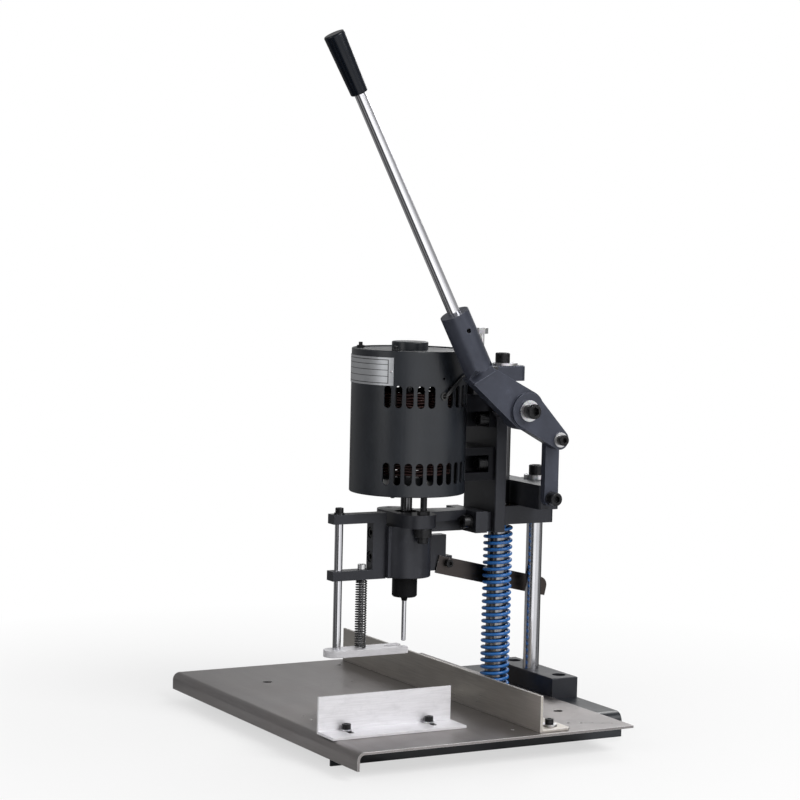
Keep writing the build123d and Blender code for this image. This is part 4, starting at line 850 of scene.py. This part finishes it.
class PDRILL_OT_stage(bpy.types.Operator):
    """Make the floor, the lights, the world and the camera"""

    bl_idname = "pdrill.stage"
    bl_label = "Stage"

    def execute(self, context):
        scene = context.scene
        s = scene.pdrill_stage
        scene.view_settings.view_transform = "Standard"
        self.floor(scene)
        self.world(scene)
        for name, setting, place, size in LAMPS:
            self.lamp(scene, name, Vector(place), size, getattr(s, setting))
        self.camera(scene, s.focal)
        return {"FINISHED"}

    def floor(self, scene):
        """Level sheet of white paper under the machine."""
        half = 6.0
        corners = [(-half, -half, 0), (half, -half, 0), (half, half, 0), (-half, half, 0)]
        mesh = bpy.data.meshes.new("floor")
        mesh.from_pydata(corners, [], [(0, 1, 2, 3)])
        floor = bpy.data.objects.new("floor", mesh)
        scene.collection.objects.link(floor)
        f = Finish("floor_paper", Roughness=0.9)
        f.set("Base Color", (0.86, 0.86, 0.86))
        where = f.place()
        away = f.add("ShaderNodeVectorMath", {"operation": "LENGTH"}, {0: where}, out="Value")
        seen = f.add("ShaderNodeLightPath", out="Is Camera Ray")
        glossy = f.add("ShaderNodeLightPath", out="Is Glossy Ray")
        dim = 0.06
        bright = f.studio(where, LOW_PANELS) + dim
        white = f.add("ShaderNodeEmission", {}, {"Color": WHITE, "Strength": 1.0})
        studio = f.add("ShaderNodeEmission", {}, {"Color": WHITE, "Strength": bright})
        # the camera sees the paper whiter with distance; reflections see the studio's panels instead
        faded = f.between(away, 0.25, 0.9, 0.62, 1.0) * seen
        mirrored = f.between(away, 0.30, 0.45, 0.3, 1.0) * glossy
        paper = f.add("ShaderNodeMixShader", {}, {0: faded, 1: Term(f, f.shader.outputs[0]), 2: white})
        paper = f.add("ShaderNodeMixShader", {}, {0: mirrored, 1: paper, 2: studio})
        f.feed(f.output.inputs["Surface"], paper)
        mesh.materials.append(f.material)

    def world(self, scene):
        """White backdrop, and the studio round the machine as its metal mirrors it."""
        scene.world = bpy.data.worlds.new("studio")
        g = Graph(scene.world)
        seen = g.add("ShaderNodeLightPath", out="Is Camera Ray")
        glossy = g.add("ShaderNodeLightPath", out="Is Glossy Ray")
        way = g.add("ShaderNodeTexCoord", out="Generated")
        height = g.add("ShaderNodeSeparateXYZ", {}, {0: way}, out="Z")
        # white to the camera, panels and a grey sky in reflections, and a weak even light for the rest
        sky, ambient = 0.34, 0.22
        low = g.between(height, 0.0, 0.5, 1.0, 0.0)
        mirrored = (g.studio(way, HIGH_PANELS) * low + sky) * glossy
        strength = seen + mirrored + ambient * (1.0 - seen) * (1.0 - glossy)
        light = g.add("ShaderNodeBackground", {}, {"Color": WHITE, "Strength": strength})
        g.add("ShaderNodeOutputWorld", {}, {"Surface": light})

    def lamp(self, scene, name, place, size, power):
        """Soft rectangular lamp, aimed at the machine's middle."""
        data = bpy.data.lights.new(name, "AREA")
        data.shape = "RECTANGLE"
        data.size, data.size_y = size
        data.energy = power
        lamp = bpy.data.objects.new(name, data)
        lamp.location = place
        lamp.rotation_mode = "QUATERNION"
        lamp.rotation_quaternion = (LAMP_AIM - place).to_track_quat("-Z", "Y")
        scene.collection.objects.link(lamp)

    def camera(self, scene, focal):
        """Camera at the photograph's place: its turn, height and slight roll."""
        turn, pitch, roll = (math.radians(a) for a in CAMERA_TURNS)
        back = Vector((math.sin(turn) * math.cos(pitch), -math.cos(turn) * math.cos(pitch), math.sin(pitch)))
        right = Vector((math.cos(turn), math.sin(turn), 0.0))
        up = back.cross(right)
        side = right * math.cos(roll) + up * math.sin(roll)
        top = up * math.cos(roll) - right * math.sin(roll)
        data = bpy.data.cameras.new("photo_camera")
        data.lens = focal
        data.sensor_width = 36.0
        data.clip_start, data.clip_end = 0.05, 50.0
        camera = bpy.data.objects.new("photo_camera", data)
        scene.collection.objects.link(camera)
        turned = Matrix((side, top, back)).transposed().to_4x4()
        camera.matrix_world = Matrix.Translation(CAMERA_PLACE) @ turned
        scene.camera = camera


class PDRILL_PT_panel(bpy.types.Panel):
    """Lists the machine's pieces and settings"""

    bl_idname = "PDRILL_PT_panel"
    bl_label = "Paper Drill"
    bl_space_type = "VIEW_3D"
    bl_region_type = "UI"
    bl_category = "Paper Drill"

    def draw(self, context):
        for operator in OPERATORS:
            self.layout.operator(operator.bl_idname)
        for group in (context.scene.pdrill_colours, context.scene.pdrill_springs, context.scene.pdrill_stage):
            for name in group.__annotations__:
                self.layout.prop(group, name)


OPERATORS = (
    PDRILL_OT_finishes, PDRILL_OT_return_coil, PDRILL_OT_foot_coil, PDRILL_OT_windings, PDRILL_OT_leads,
    PDRILL_OT_label_rivets, PDRILL_OT_stage,
)
GROUPS = (PaperDrillColours, PaperDrillSprings, PaperDrillStage)


def register():
    for cls in GROUPS + OPERATORS + (PDRILL_PT_panel,):
        bpy.utils.register_class(cls)
    bpy.types.Scene.pdrill_colours = bpy.props.PointerProperty(type=PaperDrillColours)
    bpy.types.Scene.pdrill_springs = bpy.props.PointerProperty(type=PaperDrillSprings)
    bpy.types.Scene.pdrill_stage = bpy.props.PointerProperty(type=PaperDrillStage)


def unregister():
    del bpy.types.Scene.pdrill_colours
    del bpy.types.Scene.pdrill_springs
    del bpy.types.Scene.pdrill_stage
    for cls in reversed(GROUPS + OPERATORS + (PDRILL_PT_panel,)):
        bpy.utils.unregister_class(cls)


def main():
    register()
    bpy.ops.pdrill.finishes()
    bpy.ops.pdrill.return_coil()
    bpy.ops.pdrill.foot_coil()
    bpy.ops.pdrill.windings()
    bpy.ops.pdrill.leads()
    bpy.ops.pdrill.label_rivets()
    bpy.ops.pdrill.stage()


if __name__ == "__main__":
    main()
